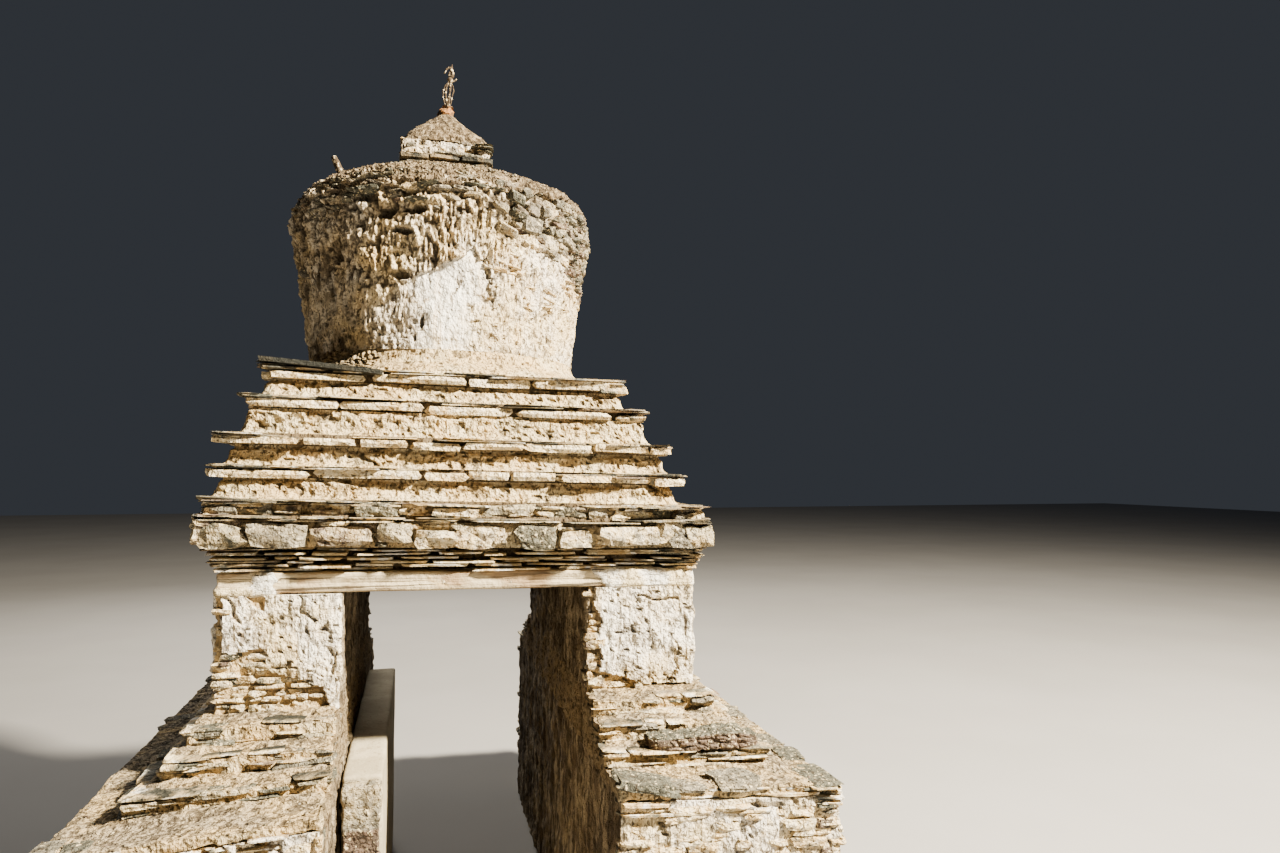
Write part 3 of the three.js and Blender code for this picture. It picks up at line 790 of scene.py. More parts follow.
def make_field_stone():
    """Field stones with lichen, and with limewash and mud on the outer face."""
    finish = Finish("field_stone", 0.90)
    stone = stone_colour(finish, finish.attribute("tone"))
    patch = finish.patches(0.09, 0.34, 0.54, detail=6, shift=2.0)
    coat = finish.blend(finish.patches(0.15, 0.4, 0.6, detail=5), CREAM, IVORY)
    pale = finish.patches(0.035, 0.50, 0.56, 0.0, 0.35, detail=3, shift=4.0, roughness=0.55)
    coat = finish.blend(pale, coat, WHITE)
    stain = finish.patches(0.028, 0.57, 0.63, 0.0, 0.65, detail=3, shift=6.0, roughness=0.55)
    coat = finish.blend(stain, coat, TAN)
    colour = wash_over(finish, patch, (0.05, 0.7), stone, coat)
    lichen = finish.patches(0.021, 0.57, 0.63, 0.0, 0.8, detail=3, shift=15.0, roughness=0.55)
    colour = finish.blend(lichen, colour, DARK_EARTH)
    cracks = finish.patches(0.05, 0.33, 0.38, 1.0, 0.0, detail=6, stretch=(1, 1, 2), shift=9.0)
    colour = finish.blend(finish.times(cracks, 0.6), colour, DARK_EARTH)
    finish.raise_surface([
        (finish.grain(0.045, 4, roughness=0.58), 0.055),
        (finish.grain(0.019, 3, shift=7.0, roughness=0.55), 0.020),
        (cracks, -0.012),
    ])
    return finish.done(colour)


def make_poplar():
    """Old poplar with long cracks, and limewash left on it by the attribute wash."""
    finish = Finish("old_poplar", 0.85)
    fibres = finish.grain(0.012, 6, (0.04, 1, 1))
    wood = finish.blend(finish.spread(fibres, 0.35, 0.65), OLD_POPLAR, POPLAR)
    patch = finish.patches(0.13, 0.42, 0.60, detail=5, stretch=(0.4, 1, 1), shift=5.0)
    wood = finish.blend(patch, wood, PALE_WOOD)
    rusty = finish.patches(0.12, 0.60, 0.68, 0.0, 0.6, detail=4, stretch=(0.5, 1, 1), shift=8.0)
    wood = finish.blend(rusty, wood, STRAW_MUD)
    speckled = finish.patches(0.022, 0.54, 0.62, detail=4, shift=12.0)
    wood = finish.blend(finish.attribute("old"), wood, finish.blend(speckled, WORN_WOOD, PALE_WOOD))
    clay = finish.patches(0.035, 0.44, 0.54, detail=5, shift=13.0)
    wood = finish.blend(finish.attribute("clay"), wood, finish.blend(clay, WORN_WOOD, RUST_MUD))
    coat = finish.blend(finish.patches(0.15, 0.4, 0.6, detail=5, shift=3.0), IVORY, WHITE)
    coated = finish.ragged(finish.attribute("wash"), 0.06)
    chipped = finish.patches(0.022, 0.58, 0.64, 0.0, 0.7, detail=3, shift=16.0, roughness=0.55)
    coat = finish.blend(chipped, coat, TAN)
    wood = finish.blend(coated, wood, coat)
    crack = finish.grain(0.016, 4, (0.020, 1, 1), 6.0)
    cracked = finish.spread(crack, 0.37, 0.41, 1.0, 0.0)
    colour = finish.blend(finish.times(cracked, 0.85), wood, DARK_EARTH)
    finish.raise_surface([
        (finish.times(finish.grain(0.045, 4, shift=15.0, roughness=0.58), coated), 0.070),
        (fibres, 0.006),
        (cracked, -0.020),
        (finish.grain(0.04, 6), 0.014),
    ])
    return finish.done(colour)


def make_cement():
    """Smooth cream render with scratches, dust and worn edges."""
    finish = Finish("cement_render", 0.88)
    cloud = finish.patches(0.25, 0.38, 0.62, detail=6)
    coat = finish.blend(cloud, CEMENT, PALE_CEMENT)
    stain = finish.patches(0.10, 0.54, 0.68, 0.0, 0.4, detail=6, stretch=(1, 1, 0.4), shift=3.0)
    coat = finish.blend(stain, coat, SAND)
    dirt = finish.patches(0.025, 0.58, 0.68, 0.0, 0.5, detail=5, shift=5.0)
    coat = finish.blend(dirt, coat, EARTH)
    finish.raise_surface([
        (finish.grain(0.08, 6), 0.012),
        (finish.grain(0.010, 4, shift=2.0), 0.003),
    ])
    return finish.done(coat)


def make_floor():
    finish = Finish("studio_floor", 0.95)
    tone = finish.patches(3.0, 0.3, 0.7, detail=3)
    return finish.done(finish.blend(tone, FLOOR, PALE_FLOOR))


# The finish of each slot
FINISHES = {
    "limewash": make_limewash(),
    "mud": make_mud(),
    "slate": make_slate(),
    "stone": make_field_stone(),
    "timber": make_poplar(),
    "cement": make_cement(),
}


# Limewashed walls

WALL_CORNER = 0.045
WALL_HEAD_CELL = 0.03

# How the two blocks at each side of the passage are made. lean is how far the top stands in,
# and recess is how deep the bare stones are bedded.
WALLS = {
    "plinth": {"cell": PLINTH_CELL, "cream": 0.7, "calm": 0.0, "lean": 0.02, "recess": 0.042},
    "pier": {"cell": PIER_CELL, "cream": 0.3, "calm": 0.25, "lean": 0.0, "recess": 0.030},
}
STONE_THICKNESSES = {"plinth": (0.035, 0.085), "pier": (0.025, 0.060)}

# The sides of a course that show beside the passage, left -1 and right 1. Side 0 is the
# front, 1 the right, 2 the back and 3 the left.
OPEN_SIDES = {-1: (0, 2, 3), 1: (0, 1, 2)}


def coat_relief(points, seed):
    """How far thick old limewash stands out, and where it is chipped, which the walls darken as
    painted shade.
    """
    trowel = rough(points, (0.14, 0.14, 0.10), 4, seed + 9)
    streaks = rough(points, (0.030, 0.030, 0.22), 3, seed + 11)
    fine = np.abs(lumps(points, (0.024, 0.024, 0.040), seed + 13))
    shaded_nicks = fade(rough(points, (0.040, 0.040, 0.026), 3, seed + 10), 0.44, 0.70)
    return 0.009 * trowel + 0.007 * streaks + 0.009 * fine - 0.017 * shaded_nicks - 0.004, shaded_nicks


def wall_bulge(points, low, high):
    """The same broad bulges as the CAD wall has, fading at its foot and its top."""
    on_side = np.minimum(np.abs(points[:, 0] - low[0]), np.abs(points[:, 0] - high[0])) < 0.06
    turns = 2 * math.pi / BULGE_SPACING
    across = turns * np.where(on_side, points[:, 1], points[:, 0])
    up = turns * points[:, 2]
    bulge = BULGE * np.sin(across + 1.4 * np.sin(up)) * np.cos(up + 0.9 * np.sin(0.37 * across))
    return bulge * fade(np.minimum(points[:, 2] - low[2], high[2] - points[:, 2]), 0.0, 0.15)


def passage_face(points, outward, side):
    """1 on the mud-plastered face towards the passage, 0 elsewhere, and its drips."""
    facing = fade(-side * outward[:, 0], 0.75, 0.95)
    drips = rough(points, (0.07, 0.07, 0.35), 3, 35) + 0.6 * rough(points, 0.05, 3, 36)
    return facing, drips


def passage_depth(drips):
    return 0.018 * drips - 0.012


def ragged_edge(points, seed):
    return 0.35 * rough(points, 0.07, 3, seed + 4)


def build_wall(name, side, seed, bare_of, cracks, cell, cream, calm, lean=0.0, recess=0.030):
    """A limewashed block beside the passage. bare_of says where the coat has fallen off,
    cracks are drawn lines on its front, and recess is how deep its bare stones are bedded."""
    low, high = box_of(name)
    mesh, points, outward = rounded_block(name, low, high, cell, WALL_CORNER)
    facing, drips = passage_face(points, outward, side)
    gone = bare_of(points, outward, side) + ragged_edge(points, seed)
    bare = fade(gone, 0.45, 0.55) * (1 - facing)
    depth, shaded_nicks = coat_relief(points, seed)
    depth += wall_bulge(points, low, high)
    bedding = 0.012 * rough(points, (0.16, 0.16, 0.06), 2, seed + 5) - recess
    depth = (1 - bare) * depth + bare * bedding - 0.004
    front = fade(-outward[:, 1], 0.7, 0.95)
    across = points[:, 0] + 0.012 * lumps(points, 0.05, seed + 6)
    level = points[:, 2] + 0.012 * lumps(points, 0.05, seed + 7)
    for path in cracks:
        depth -= 0.028 * front * (1 - fade(from_path(across, level, path), 0.0, 0.012))
    depth = (1 - facing) * depth + facing * passage_depth(drips)
    rise = (points[:, 2] - low[2]) / (high[2] - low[2])
    depth -= lean * rise * (1 - facing)
    points += outward * depth[:, None]
    move_points(mesh, points)
    # Painted shade: the chipped spots of the coat, the deep bedding between bare stones and the
    # drip grooves on the passage face are darkened.
    deep = fade(-bedding, recess, recess + 0.012)
    hollow = np.clip(shaded_nicks * (1 - bare) + bare * deep, 0, 1)
    hollow = np.maximum(hollow * (1 - facing), facing * fade(-drips, 0.2, 0.8))
    foot_dirt = 0.45 * (1 - fade(points[:, 2] - low[2], 0.0, 0.25)) * (1 - facing)
    earth = np.maximum(facing, foot_dirt * (0.6 + 0.6 * rough(points, 0.12, 3, seed + 12)))
    low_down = 1 - fade(points[:, 2] + 0.12 * rough(points, 0.2, 2, seed + 2), low[2], high[2])
    tint = cream * (0.3 + 0.7 * low_down)
    paint(mesh, bare=bare, earth=earth, hollow=hollow, cream=tint, calm=calm * (1 - facing))
    return add_piece(name, mesh, "limewash", [name])


# Drawn on the front of the piers and plinths, as (across, height) in metres
LEFT_PIER_BREAK = [
    (-1.34, 1.70), (-1.34, 2.08), (-1.276, 2.071), (-1.199, 2.054), (-1.134, 2.066),
    (-1.062, 2.080), (-1.030, 2.050), (-1.042, 1.975), (-1.012, 1.954), (-0.926, 1.930),
    (-0.846, 1.900), (-0.75, 1.86), (-0.70, 1.70),
]
LEFT_PIER_CHIP = [(-1.13, 2.34), (-1.05, 2.34), (-1.05, 2.27), (-1.09, 2.285)]
LEFT_PIER_CRACKS = [
    [(-1.331, 2.37), (-1.289, 2.355), (-1.241, 2.345), (-1.206, 2.305), (-1.167, 2.224)],
    [(-0.86, 2.34), (-0.88, 2.27), (-0.80, 2.22)],
    [(-0.72, 2.06), (-0.70, 2.00), (-0.71, 1.93)],
]
RIGHT_PIER_EDGE = [
    (0.55, 1.60), (0.55, 2.40), (0.72, 2.40), (0.70, 2.25), (0.75, 2.15), (0.71, 2.05),
    (0.75, 1.95), (0.73, 1.86), (0.84, 1.83), (1.00, 1.78), (1.34, 1.76), (1.34, 1.60),
]
RIGHT_PIER_CRACKS = [
    [(1.17, 1.96), (1.184, 1.902), (1.194, 1.857), (1.156, 1.815), (1.137, 1.773)],
    [(0.673, 1.862), (0.782, 1.828)],
    [(0.88, 1.82), (0.90, 1.80)],
    [(0.95, 2.30), (1.08, 2.27), (1.2, 2.275)],
]
PLINTH_CRACKS = [
    [(1.55, 1.42), (1.60, 1.33), (1.58, 1.22), (1.60, 1.10)],
    [(1.00, 1.20), (1.12, 1.10), (1.28, 1.08), (1.30, 0.95)],
    [(1.464, 1.366), (1.50, 1.31), (1.543, 1.228)],
    [(1.333, 1.400), (1.41, 1.395), (1.486, 1.386)],
    [(1.345, 1.388), (1.41, 1.383), (1.470, 1.376)],
]


def pier_bare(points, outward, side):
    """Where the limewash has fallen off a pier: drawn on the front, scattered elsewhere."""
    front = fade(-outward[:, 1], 0.02, 0.25)
    x = points[:, 0]
    height = points[:, 2]
    if side < 0:
        broken = inside_path(x, height, LEFT_PIER_BREAK)
        chipped = inside_path(x, height, LEFT_PIER_CHIP)
        strip = fade(-1.235 - x + 0.02 * lumps(points, 0.06, 3), 0.0, 0.02)
        drawn = np.maximum(np.maximum(broken, chipped), strip)
    else:
        drawn = inside_path(x, height, RIGHT_PIER_EDGE)
    scattered = rough(points, 0.30, 3, 40 + side) + 0.5 * (1 - fade(height, 1.8, 2.0)) + 0.05
    return front * drawn + (1 - front) * scattered


def plinth_bare(points, outward, side):
    """Where the limewash has fallen off a plinth, mostly near its top and the passage."""
    near_top = fade(points[:, 2], 1.20, 1.40)
    near_passage = fade(0.95 - side * points[:, 0], 0.0, 0.3)
    return rough(points, 0.35, 3, 50 + side) + 0.25 * near_top + 0.15 * near_passage


def never_bare(points, outward, side):
    return np.zeros(len(points))


def wall_stones(rng, name, thicknesses, is_bare, sides, lean, covered):
    """Flat rubble in a wall: bare where its coat has fallen off. Where covered is true, washed
    stones show through the rest of the coat as well."""
    low, high = box_of(name)
    wash = (0.2, 1.0) if covered else (0.6, 1.0)
    lengths = (0.07, 0.27) if covered else (0.05, 0.17)
    places = []
    height = low[2] + 0.01
    while height < high[2] - 0.03:
        thick = rng.uniform(*thicknesses)
        inset = lean * (height - low[2]) / (high[2] - low[2])
        row = {
            "at": height, "thick": (0.75 * thick, 1.05 * thick), "length": lengths,
            "depth": (0.10, 0.16), "gap": 0.025, "tilt": 0.07,
        }
        bare = dict(row, reach=(-0.034 - inset, 0.004 - inset), wash=wash, missing=0.10)
        places += lay_row(rng, low, high, bare, sides, is_bare)
        if covered:
            washed = dict(row, reach=(-0.014 - inset, 0.018 - inset), wash=(0.9, 1.0), missing=0.30)
            places += lay_row(rng, low, high, washed, sides, lambda centre: not is_bare(centre))
        height += thick
    return places


def bare_spot(side, bare_of, seed, low, high):
    """A test for whether the limewash is gone at one place on a wall."""
    def is_bare(centre):
        spot = centre[None, :]
        out_of_front = min(abs(centre[1] - low[1]), abs(centre[1] - high[1])) < 0.12
        way = (0.0, math.copysign(1.0, centre[1]), 0.0) if out_of_front else (float(side), 0.0, 0.0)
        return (bare_of(spot, np.array([way]), side) + ragged_edge(spot, seed))[0] > 0.5
    return is_bare


def cracks_of(part, side):
    """The cracks drawn on the front of one wall."""
    if part == "plinth":
        return [[(side * x, z) for x, z in path] for path in PLINTH_CRACKS]
    return LEFT_PIER_CRACKS if side < 0 else RIGHT_PIER_CRACKS


def build_sides():
    """The plinth, the pier, the wall head and the stepped foot at each side of the passage."""
    for side, word in ((-1, "left"), (1, "right")):
        rng = np.random.default_rng(600 + side)
        places = []
        for part, bare_of, seed in (("plinth", plinth_bare, 11), ("pier", pier_bare, 12 + side)):
            name = f"{word}_{part}"
            build_wall(name, side, seed, bare_of, cracks_of(part, side), **WALLS[part])
            is_bare = bare_spot(side, bare_of, seed, *box_of(name))
            places += wall_stones(
                rng, name, STONE_THICKNESSES[part], is_bare, OPEN_SIDES[side],
                WALLS[part]["lean"], covered=part == "plinth",
            )
        head = f"{word}_wall_head"
        build_wall(head, side, 14, never_bare, [], WALL_HEAD_CELL, cream=0.5, calm=0.3)
        places = out_of_passage(places)
        lay_stones(f"{word}_wall_stones", stone_shape(6.0), places, "stone", 610, 0.11)
        build_foot(side, word)


# The mud ledge, the three low steps and the stones bedded in them

FOOT_PARTS = ("ledge", "lower_step", "middle_step", "upper_step", "pier")
STEP_INSET = 0.016
REACH_INTO_PASSAGE = 0.012
LEDGE_PEBBLES = 420
DRUM_CRUMBS = 170
CAP_PEBBLES = 2200

LEDGE_SLATES = {
    "thick": (0.008, 0.020), "length": (0.10, 0.42), "reach": (-0.035, 0.022),
    "depth": (0.12, 0.25), "wash": (0.4, 1.0), "missing": 0.45, "gap": 0.06, "tilt": 0.05,
}
LEDGE_STONES = {
    "thick": (0.016, 0.032), "length": (0.10, 0.36), "reach": (-0.03, 0.014),
    "depth": (0.12, 0.24), "wash": (0.0, 0.35), "missing": 0.68, "gap": 0.10, "tilt": 0.04,
    "tone": (0.02, 0.40),
}
STEP_STONES = {
    "length": (0.10, 0.40), "reach": (-0.030, 0.016), "depth": (0.12, 0.22),
    "wash": (0.0, 0.75), "missing": 0.18, "gap": 0.03, "tilt": 0.05, "tone": (0.0, 0.62),
}
STEP_SLATES = {
    "thick": (0.006, 0.012), "length": (0.10, 0.40), "reach": (-0.03, 0.018),
    "depth": (0.12, 0.22), "wash": (0.2, 0.9), "missing": 0.5, "gap": 0.05, "tilt": 0.05,
}


def lay_ledge(rng, low, high, sides):
    """Five layers of thin slates in the face of a ledge, and a few stones along its edge."""
    slates = []
    for layer in range(5):
        at = high[2] - 0.13 + 0.025 * layer
        slates += lay_row(rng, low, high, dict(LEDGE_SLATES, at=at), sides)
    stones = lay_row(rng, low, high, dict(LEDGE_STONES, at=high[2] - 0.022), sides)
    return slates, stones


def lay_step(rng, low, high, sides):
    """Two layers of stones in the face of a step, with thin slates over each."""
    slates = []
    stones = []
    thick = (high[2] - low[2]) / 2
    for layer in range(2):
        at = low[2] + (layer + 0.10) * thick
        row = dict(STEP_STONES, at=at, thick=(0.45 * thick, 0.85 * thick))
        stones += lay_row(rng, low, high, row, sides)
        at = low[2] + (layer + 0.9) * thick
        slates += lay_row(rng, low, high, dict(STEP_SLATES, at=at), sides)
    return slates, stones


def ledge_end_stone():
    """The flat stone on the right ledge's front edge, beside the passage."""
    low, high = box_of("right_ledge")
    centre = np.array([low[0] + 0.16, low[1] + 0.09, high[2] + 0.004])
    run = np.array([1.0, 0.0, -0.16])
    return place_on(centre, run, INTO, (0.34, 0.20, 0.050), wash=0.0, tone=0.10)


def build_foot(side, word):
    rng = np.random.default_rng(41 + side)
    slates = []
    stones = []
    for part, above in zip(FOOT_PARTS, FOOT_PARTS[1:]):
        name = f"{word}_{part}"
        low, high = box_of(name)
        build_step(name, side, low, high, box_of(f"{word}_{above}"))
        lay = lay_ledge if part == "ledge" else lay_step
        more_slates, more_stones = lay(rng, low, high, OPEN_SIDES[side])
        slates += more_slates
        stones += more_stones
    if side > 0:
        stones.append(ledge_end_stone())
    slates = out_of_passage(slates)
    stones = out_of_passage(stones)
    lay_stones(f"{word}_foot_slates", slate_shape(), slates, "slate", 44, 0.06)
    lay_stones(f"{word}_foot_stones", stone_shape(6.5), stones, "stone", 45, 0.12)


def out_of_passage(places):
    """Shifts stones sideways so that none reaches more than a little into the passage."""
    shifted = []
    for centre, axes, wash, tone in places:
        reach = 0.5 * np.abs(axes[:, 0]).sum()
        nearest = PASSAGE_HALF_WIDTH - REACH_INTO_PASSAGE + reach
        centre = centre.copy()
        centre[0] = math.copysign(max(abs(centre[0]), nearest), centre[0])
        shifted.append((centre, axes, wash, tone))
    return shifted


def build_step(name, side, low, high, covered):
    """One course of the stepped foot: mud over stones, with a sandy top."""
    low = low + np.array([STEP_INSET if side < 0 else 0.0, STEP_INSET, 0.0])
    high = high - np.array([STEP_INSET if side > 0 else 0.0, STEP_INSET, 0.0])
    mesh = to_mesh(block(low, high, STEP_CELL, (covered[0] + 0.06, covered[1] - 0.06)), name)
    points = points_of(mesh)
    outer = fade(np.abs(points[:, 0]) - PASSAGE_HALF_WIDTH, 0.01, 0.06)[:, None]
    square, straight_out = soften(points, low, high, 0.045)
    rounded, outward = soften(points, low, high, 0.020, upright=False)
    points = outer * rounded + (1 - outer) * square
    outward = outer * outward + (1 - outer) * straight_out
    facing, drips = passage_face(points, outward, side)
    upward = fade(outward[:, 2], 0.4, 0.9)
    wall = 0.010 * rough(points, 0.14, 3, 70) + 0.009 * rough(points, 0.036, 2, 71) - 0.006
    depth = (1 - facing) * wall + facing * passage_depth(drips)
    points += outward * (depth * (1 - upward))[:, None]
    middle = (covered[0] + covered[1]) / 2
    half = (covered[1] - covered[0]) / 2
    beyond = (np.abs(points - middle) - half)[:, :2].max(axis=1)
    piled = 0.020 * (1 - fade(beyond, 0.0, 0.10))
    sand = 0.008 * rough(points, 0.22, 3, 73) + 0.008 * rough(points, 0.04, 3, 72)
    points[:, 2] += upward * (sand + piled - 0.006)
    move_points(mesh, points)
    # Painted shade in the drip grooves of the passage face and in the low parts of the sandy top.
    hollow = facing * fade(-drips, 0.2, 0.8) + upward * fade(-sand, 0.006, 0.012) * 0.4
    paint(mesh, grit=0.25 + 0.75 * upward, dark=0.80 * facing, hollow=hollow)
    add_piece(name, mesh, "mud", [name])


def ledge_pebbles(rng):
    """Middles and sizes of the gravel on the ledges."""
    places = []
    for word in ("left", "right"):
        low, high = box_of(f"{word}_ledge")
        step_low, step_high = box_of(f"{word}_lower_step")
        for _ in range(LEDGE_PEBBLES):
            x = rng.uniform(low[0] + 0.03, high[0] - 0.03)
            y = rng.uniform(low[1] + 0.03, high[1] - 0.03)
            if step_low[0] < x < step_high[0] and step_low[1] < y < step_high[1]:
                continue
            places.append((np.array([x, y, high[2] - 0.002]), 0.006 + 0.016 * rng.uniform() ** 2))
    return places


def drum_crumbs(rng):
    """Middles and sizes of the crumbs that lie at the drum's foot, on its left front."""
    low, high = box_of("top_slates")
    places = []
    for _ in range(DRUM_CRUMBS):
        turn = math.radians(rng.uniform(-78, -18))
        radius = DRUM_BELLY + rng.uniform(-0.02, 0.24)
        x = DRUM_MIDDLE[0] + radius * math.sin(turn)
        y = -radius * math.cos(turn)
        if low[0] + 0.04 < x and low[1] + 0.04 < y:
            places.append((np.array([x, y, high[2] + 0.004]), rng.uniform(0.010, 0.034)))
    return places


def build_pebbles():
    """Gravel that lies on the ledges and on the cap."""
    rng = np.random.default_rng(15)
    stones = []
    for centre, size in ledge_pebbles(rng) + cap_pebbles(rng) + drum_crumbs(rng):
        turn = rng.uniform(0, math.pi)
        run = np.array([math.cos(turn), math.sin(turn), 0.0])
        inward = np.array([-math.sin(turn), math.cos(turn), 0.0])
        sizes = (size * rng.uniform(1.0, 1.9), size, size * rng.uniform(0.5, 0.9))
        stones.append(place_on(centre, run, inward, sizes, wash=rng.uniform(0.0, 0.7)))
    lay_stones("gravel", pebble_shape(), stones, "stone", 16, 0.12)


def build_loose_stone():
    """The long flat stone on the right lower step, green on top and purple in front."""
    low, high = box_of("loose_flat_stone")
    mesh = to_mesh(cut_block(low, high, (60, 18, 12)), "loose_flat_stone")
    points, outward = soften(points_of(mesh), low, high, 0.016, upright=False)
    middle = (low + high) / 2
    half = (high - low) / 2
    across = (points[:, 0] - middle[0]) / half[0]
    points[:, 1] = high[1] + (points[:, 1] - high[1]) * (1 - 0.34 * np.abs(across) ** 4)
    crest = 1 - 0.30 * fade(-across, -0.2, 1.0) - 0.35 * fade(across, 0.55, 1.0)
    points[:, 2] = low[2] + (points[:, 2] - low[2]) * crest
    split = packed(points, (0.09, 0.09, 0.030), 83)
    depth = 0.010 * rough(points, 0.11, 3, 81) + 0.006 * rough(points, (0.10, 0.03, 0.016), 3, 82)
    depth += 0.010 * fade(split, 0.0, 0.25) - 0.010
    points += outward * depth[:, None]
    points[:, 2] = np.maximum(points[:, 2], low[2])
    move_points(mesh, points)
    front = 1 - fade(outward[:, 2], 0.2, 0.7)
    washed = fade(rough(points, 0.12, 3, 5), 0.1, 0.6)
    paint(mesh, tone=0.12 + 0.58 * front, wash=0.3 * front * washed)
    add_piece("loose_flat_stone", mesh, "stone", ["loose_flat_stone"])


# Bench and timber

def build_bench():
    low, high = box_of("bench")
    mesh, points, outward = rounded_block("bench", low, high, 0.02, 0.022, False, (low, low))
    points += outward * (0.005 * rough(points, 0.3, 4, 91) - 0.004)[:, None]
    points[:, 2] = np.maximum(points[:, 2], low[2])
    move_points(mesh, points)
    add_piece("bench", mesh, "cement", ["bench"], smooth=True)


def build_bench_end():
    """The rough block of stones and mud at the bench's front end."""
    low, high = box_of("bench_end_block")
    mesh, points, outward = rounded_block(
        "bench_end_block", low, high, 0.014, 0.030, False, (low, low),
    )
    stones = packed(points, (0.25, 0.2, 0.22), 93)
    depth = 0.012 * rough(points, 0.12, 4, 92) + 0.012 * fade(stones, 0.02, 0.2) - 0.022
    points += outward * depth[:, None]
    points[:, 2] = np.maximum(points[:, 2], low[2])
    move_points(mesh, points)
    tone = 0.35 + 0.4 * (1 - fade(points[:, 2], 1.15, 1.2))
    paint(mesh, tone=tone, wash=0.30 * fade(points[:, 2], 1.16, 1.24))
    add_piece("bench_end_block", mesh, "stone", ["bench_end_block"], smooth=True)


def build_lintel(name, seed):
    """Lintel timber, split along its length, with the piers' limewash over its ends."""
    low, high = box_of(name)
    mesh = to_mesh(cut_block(low, high, (150, 8, 8)), name)
    points, outward = soften(points_of(mesh), low, high, 0.020, upright=False)
    x = points[:, 0]
    uneven = 0.10 * rough(points, 0.10, 3, seed + 3)
    slanted = x + 0.5 * (points[:, 2] - low[2]) + 0.4 * uneven
    plaster = np.maximum(fade(slanted, 0.75, 0.78), fade(-x + uneven, 0.98, 1.03))
    bare_end = fade(-x + 0.3 * uneven, 1.10, 1.13)
    bare_end = bare_end * fade(points[:, 2], low[2] + 0.035, low[2] + 0.05)
    plaster *= 1 - bare_end
    depth = 0.006 * rough(points, (0.6, 0.08, 0.08), 3, seed) - 0.008
    line = points[:, 2] - low[2] - 0.065 - 0.010 * lumps(points, 0.5, seed)
    split = (1 - fade(np.abs(line), 0.0, 0.010)) * fade(lumps(points, 0.9, seed + 1), -0.5, -0.1)
    depth -= 0.016 * split * (1 - plaster)
    depth += plaster * (0.014 + 0.006 * rough(points, 0.08, 3, seed + 4))
    points += outward * depth[:, None]
    move_points(mesh, points)
    thin_wash = 0.28 * fade(rough(points, (0.5, 0.3, 0.1), 3, seed + 5), 0.0, 0.4)
    paint(mesh, wash=np.maximum(plaster, thin_wash), old=0.0, clay=0.0)
    add_piece(name, mesh, "timber", [name], smooth=True)


def build_beams():
    """The round poles of the passage's ceiling, each a little crooked."""
    for number in range(1, 8):
        name = f"ceiling_beam_{number}"
        low, high = box_of(name)
        middle = (low + high) / 2
        half = (high[2] - low[2]) / 2
        path = []
        radii = []
        for step in range(27):
            t = step / 26
            sway = 0.012 * math.sin(5 * t + number) * math.sin(math.pi * t)
            path.append((low[0] + t * (high[0] - low[0]), middle[1] + sway, middle[2]))
            radii.append(half * (0.96 + 0.04 * math.sin(9 * t + 2 * number)))
        bm = bmesh.new()
        rod(bm, path, radii, 14)
        mesh = to_mesh(bm, name)
        points = points_of(mesh)
        for axis in (1, 2):
            points[:, axis] += 0.004 * rough(points, (0.3, 0.04, 0.04), 2, 6 + axis)
        points[:, 2] = np.clip(points[:, 2], low[2], high[2])
        move_points(mesh, points)
        paint(mesh, wash=0.0, old=0.0, clay=0.0)
        add_piece(name, mesh, "timber", [name], smooth=True)


# The tower's square courses

def course_bed(name, low, high, inset, seed, dark=0.90):
    """The mud that the slates or stones of a course are bedded in. dark makes it darker: darker
    mud, and painted shade in the gaps between the slates or stones.
    """
    low = low + np.array([inset, inset, 0.0])
    high = high - np.array([inset, inset, 0.0])
    mesh, points, outward = rounded_block(name, low, high, 0.03, 0.03)
    points += outward * (0.012 * rough(points, 0.10, 3, seed))[:, None]
    move_points(mesh, points)
    # Painted shade: the bed is darkened for the gaps between the slates or stones, as well as being
    # darker mud.
    paint(mesh, grit=0.0, dark=dark, hollow=0.65 * dark)
    add_piece(name, mesh, "mud", smooth=True)


def build_slate_course(name, seed, rows, tips=0.0, inset=0.06, slabs=None, worn=0.0):
    """A course of slates, with a row of thick washed slabs under them where slabs is given.
    Each row's "at" is its share of the course's height. worn is how far its ends are gone."""
    rng = np.random.default_rng(seed)
    low, high = box_of(name)
    low = low + np.array([worn, worn, 0.0])
    high = high - np.array([worn, worn, 0.0])
    height = high[2] - low[2]
    places = []
    for row in rows:
        places += lay_row(rng, low, high, dict(row, at=low[2] + row["at"] * height))
    if tips:
        places += corner_tips(rng, low, high, high[2] - 0.012, tips)
    lay_stones(name, slate_shape(), places, "slate", seed, 0.05, [name])
    course_bed(name + "_bed", low, high, inset, seed)
    if slabs:
        places = lay_row(rng, low, high, dict(slabs, at=low[2] + slabs["at"] * height))
        shape = stone_shape(10.0, (8, 2, 2))
        lay_stones(name + "_slabs", shape, places, "stone", seed, 0.06)


# Rows of a stepped course: thick washed slabs below, thin dark slates over them
SLAB_ROW = {
    "at": 0.04, "thick": (0.036, 0.050), "length": (0.22, 0.60), "reach": (-0.014, 0.010),
    "depth": (0.16, 0.24), "wash": (0.97, 1.0), "gap": 0.002, "tilt": 0.020,
}
THIN_ROW = {
    "at": 0.72, "thick": (0.008, 0.014), "length": (0.16, 0.55), "reach": (-0.030, 0.014),
    "depth": (0.16, 0.26), "wash": (0.0, 0.7), "gap": 0.05, "missing": 0.30, "tilt": 0.03,
}
TOP_ROW = dict(
    THIN_ROW, at=0.88, thick=(0.007, 0.012), reach=(-0.05, 0.020), missing=0.45, tone=(0.0, 0.4),
)
STEP_ROWS = [THIN_ROW, TOP_ROW]

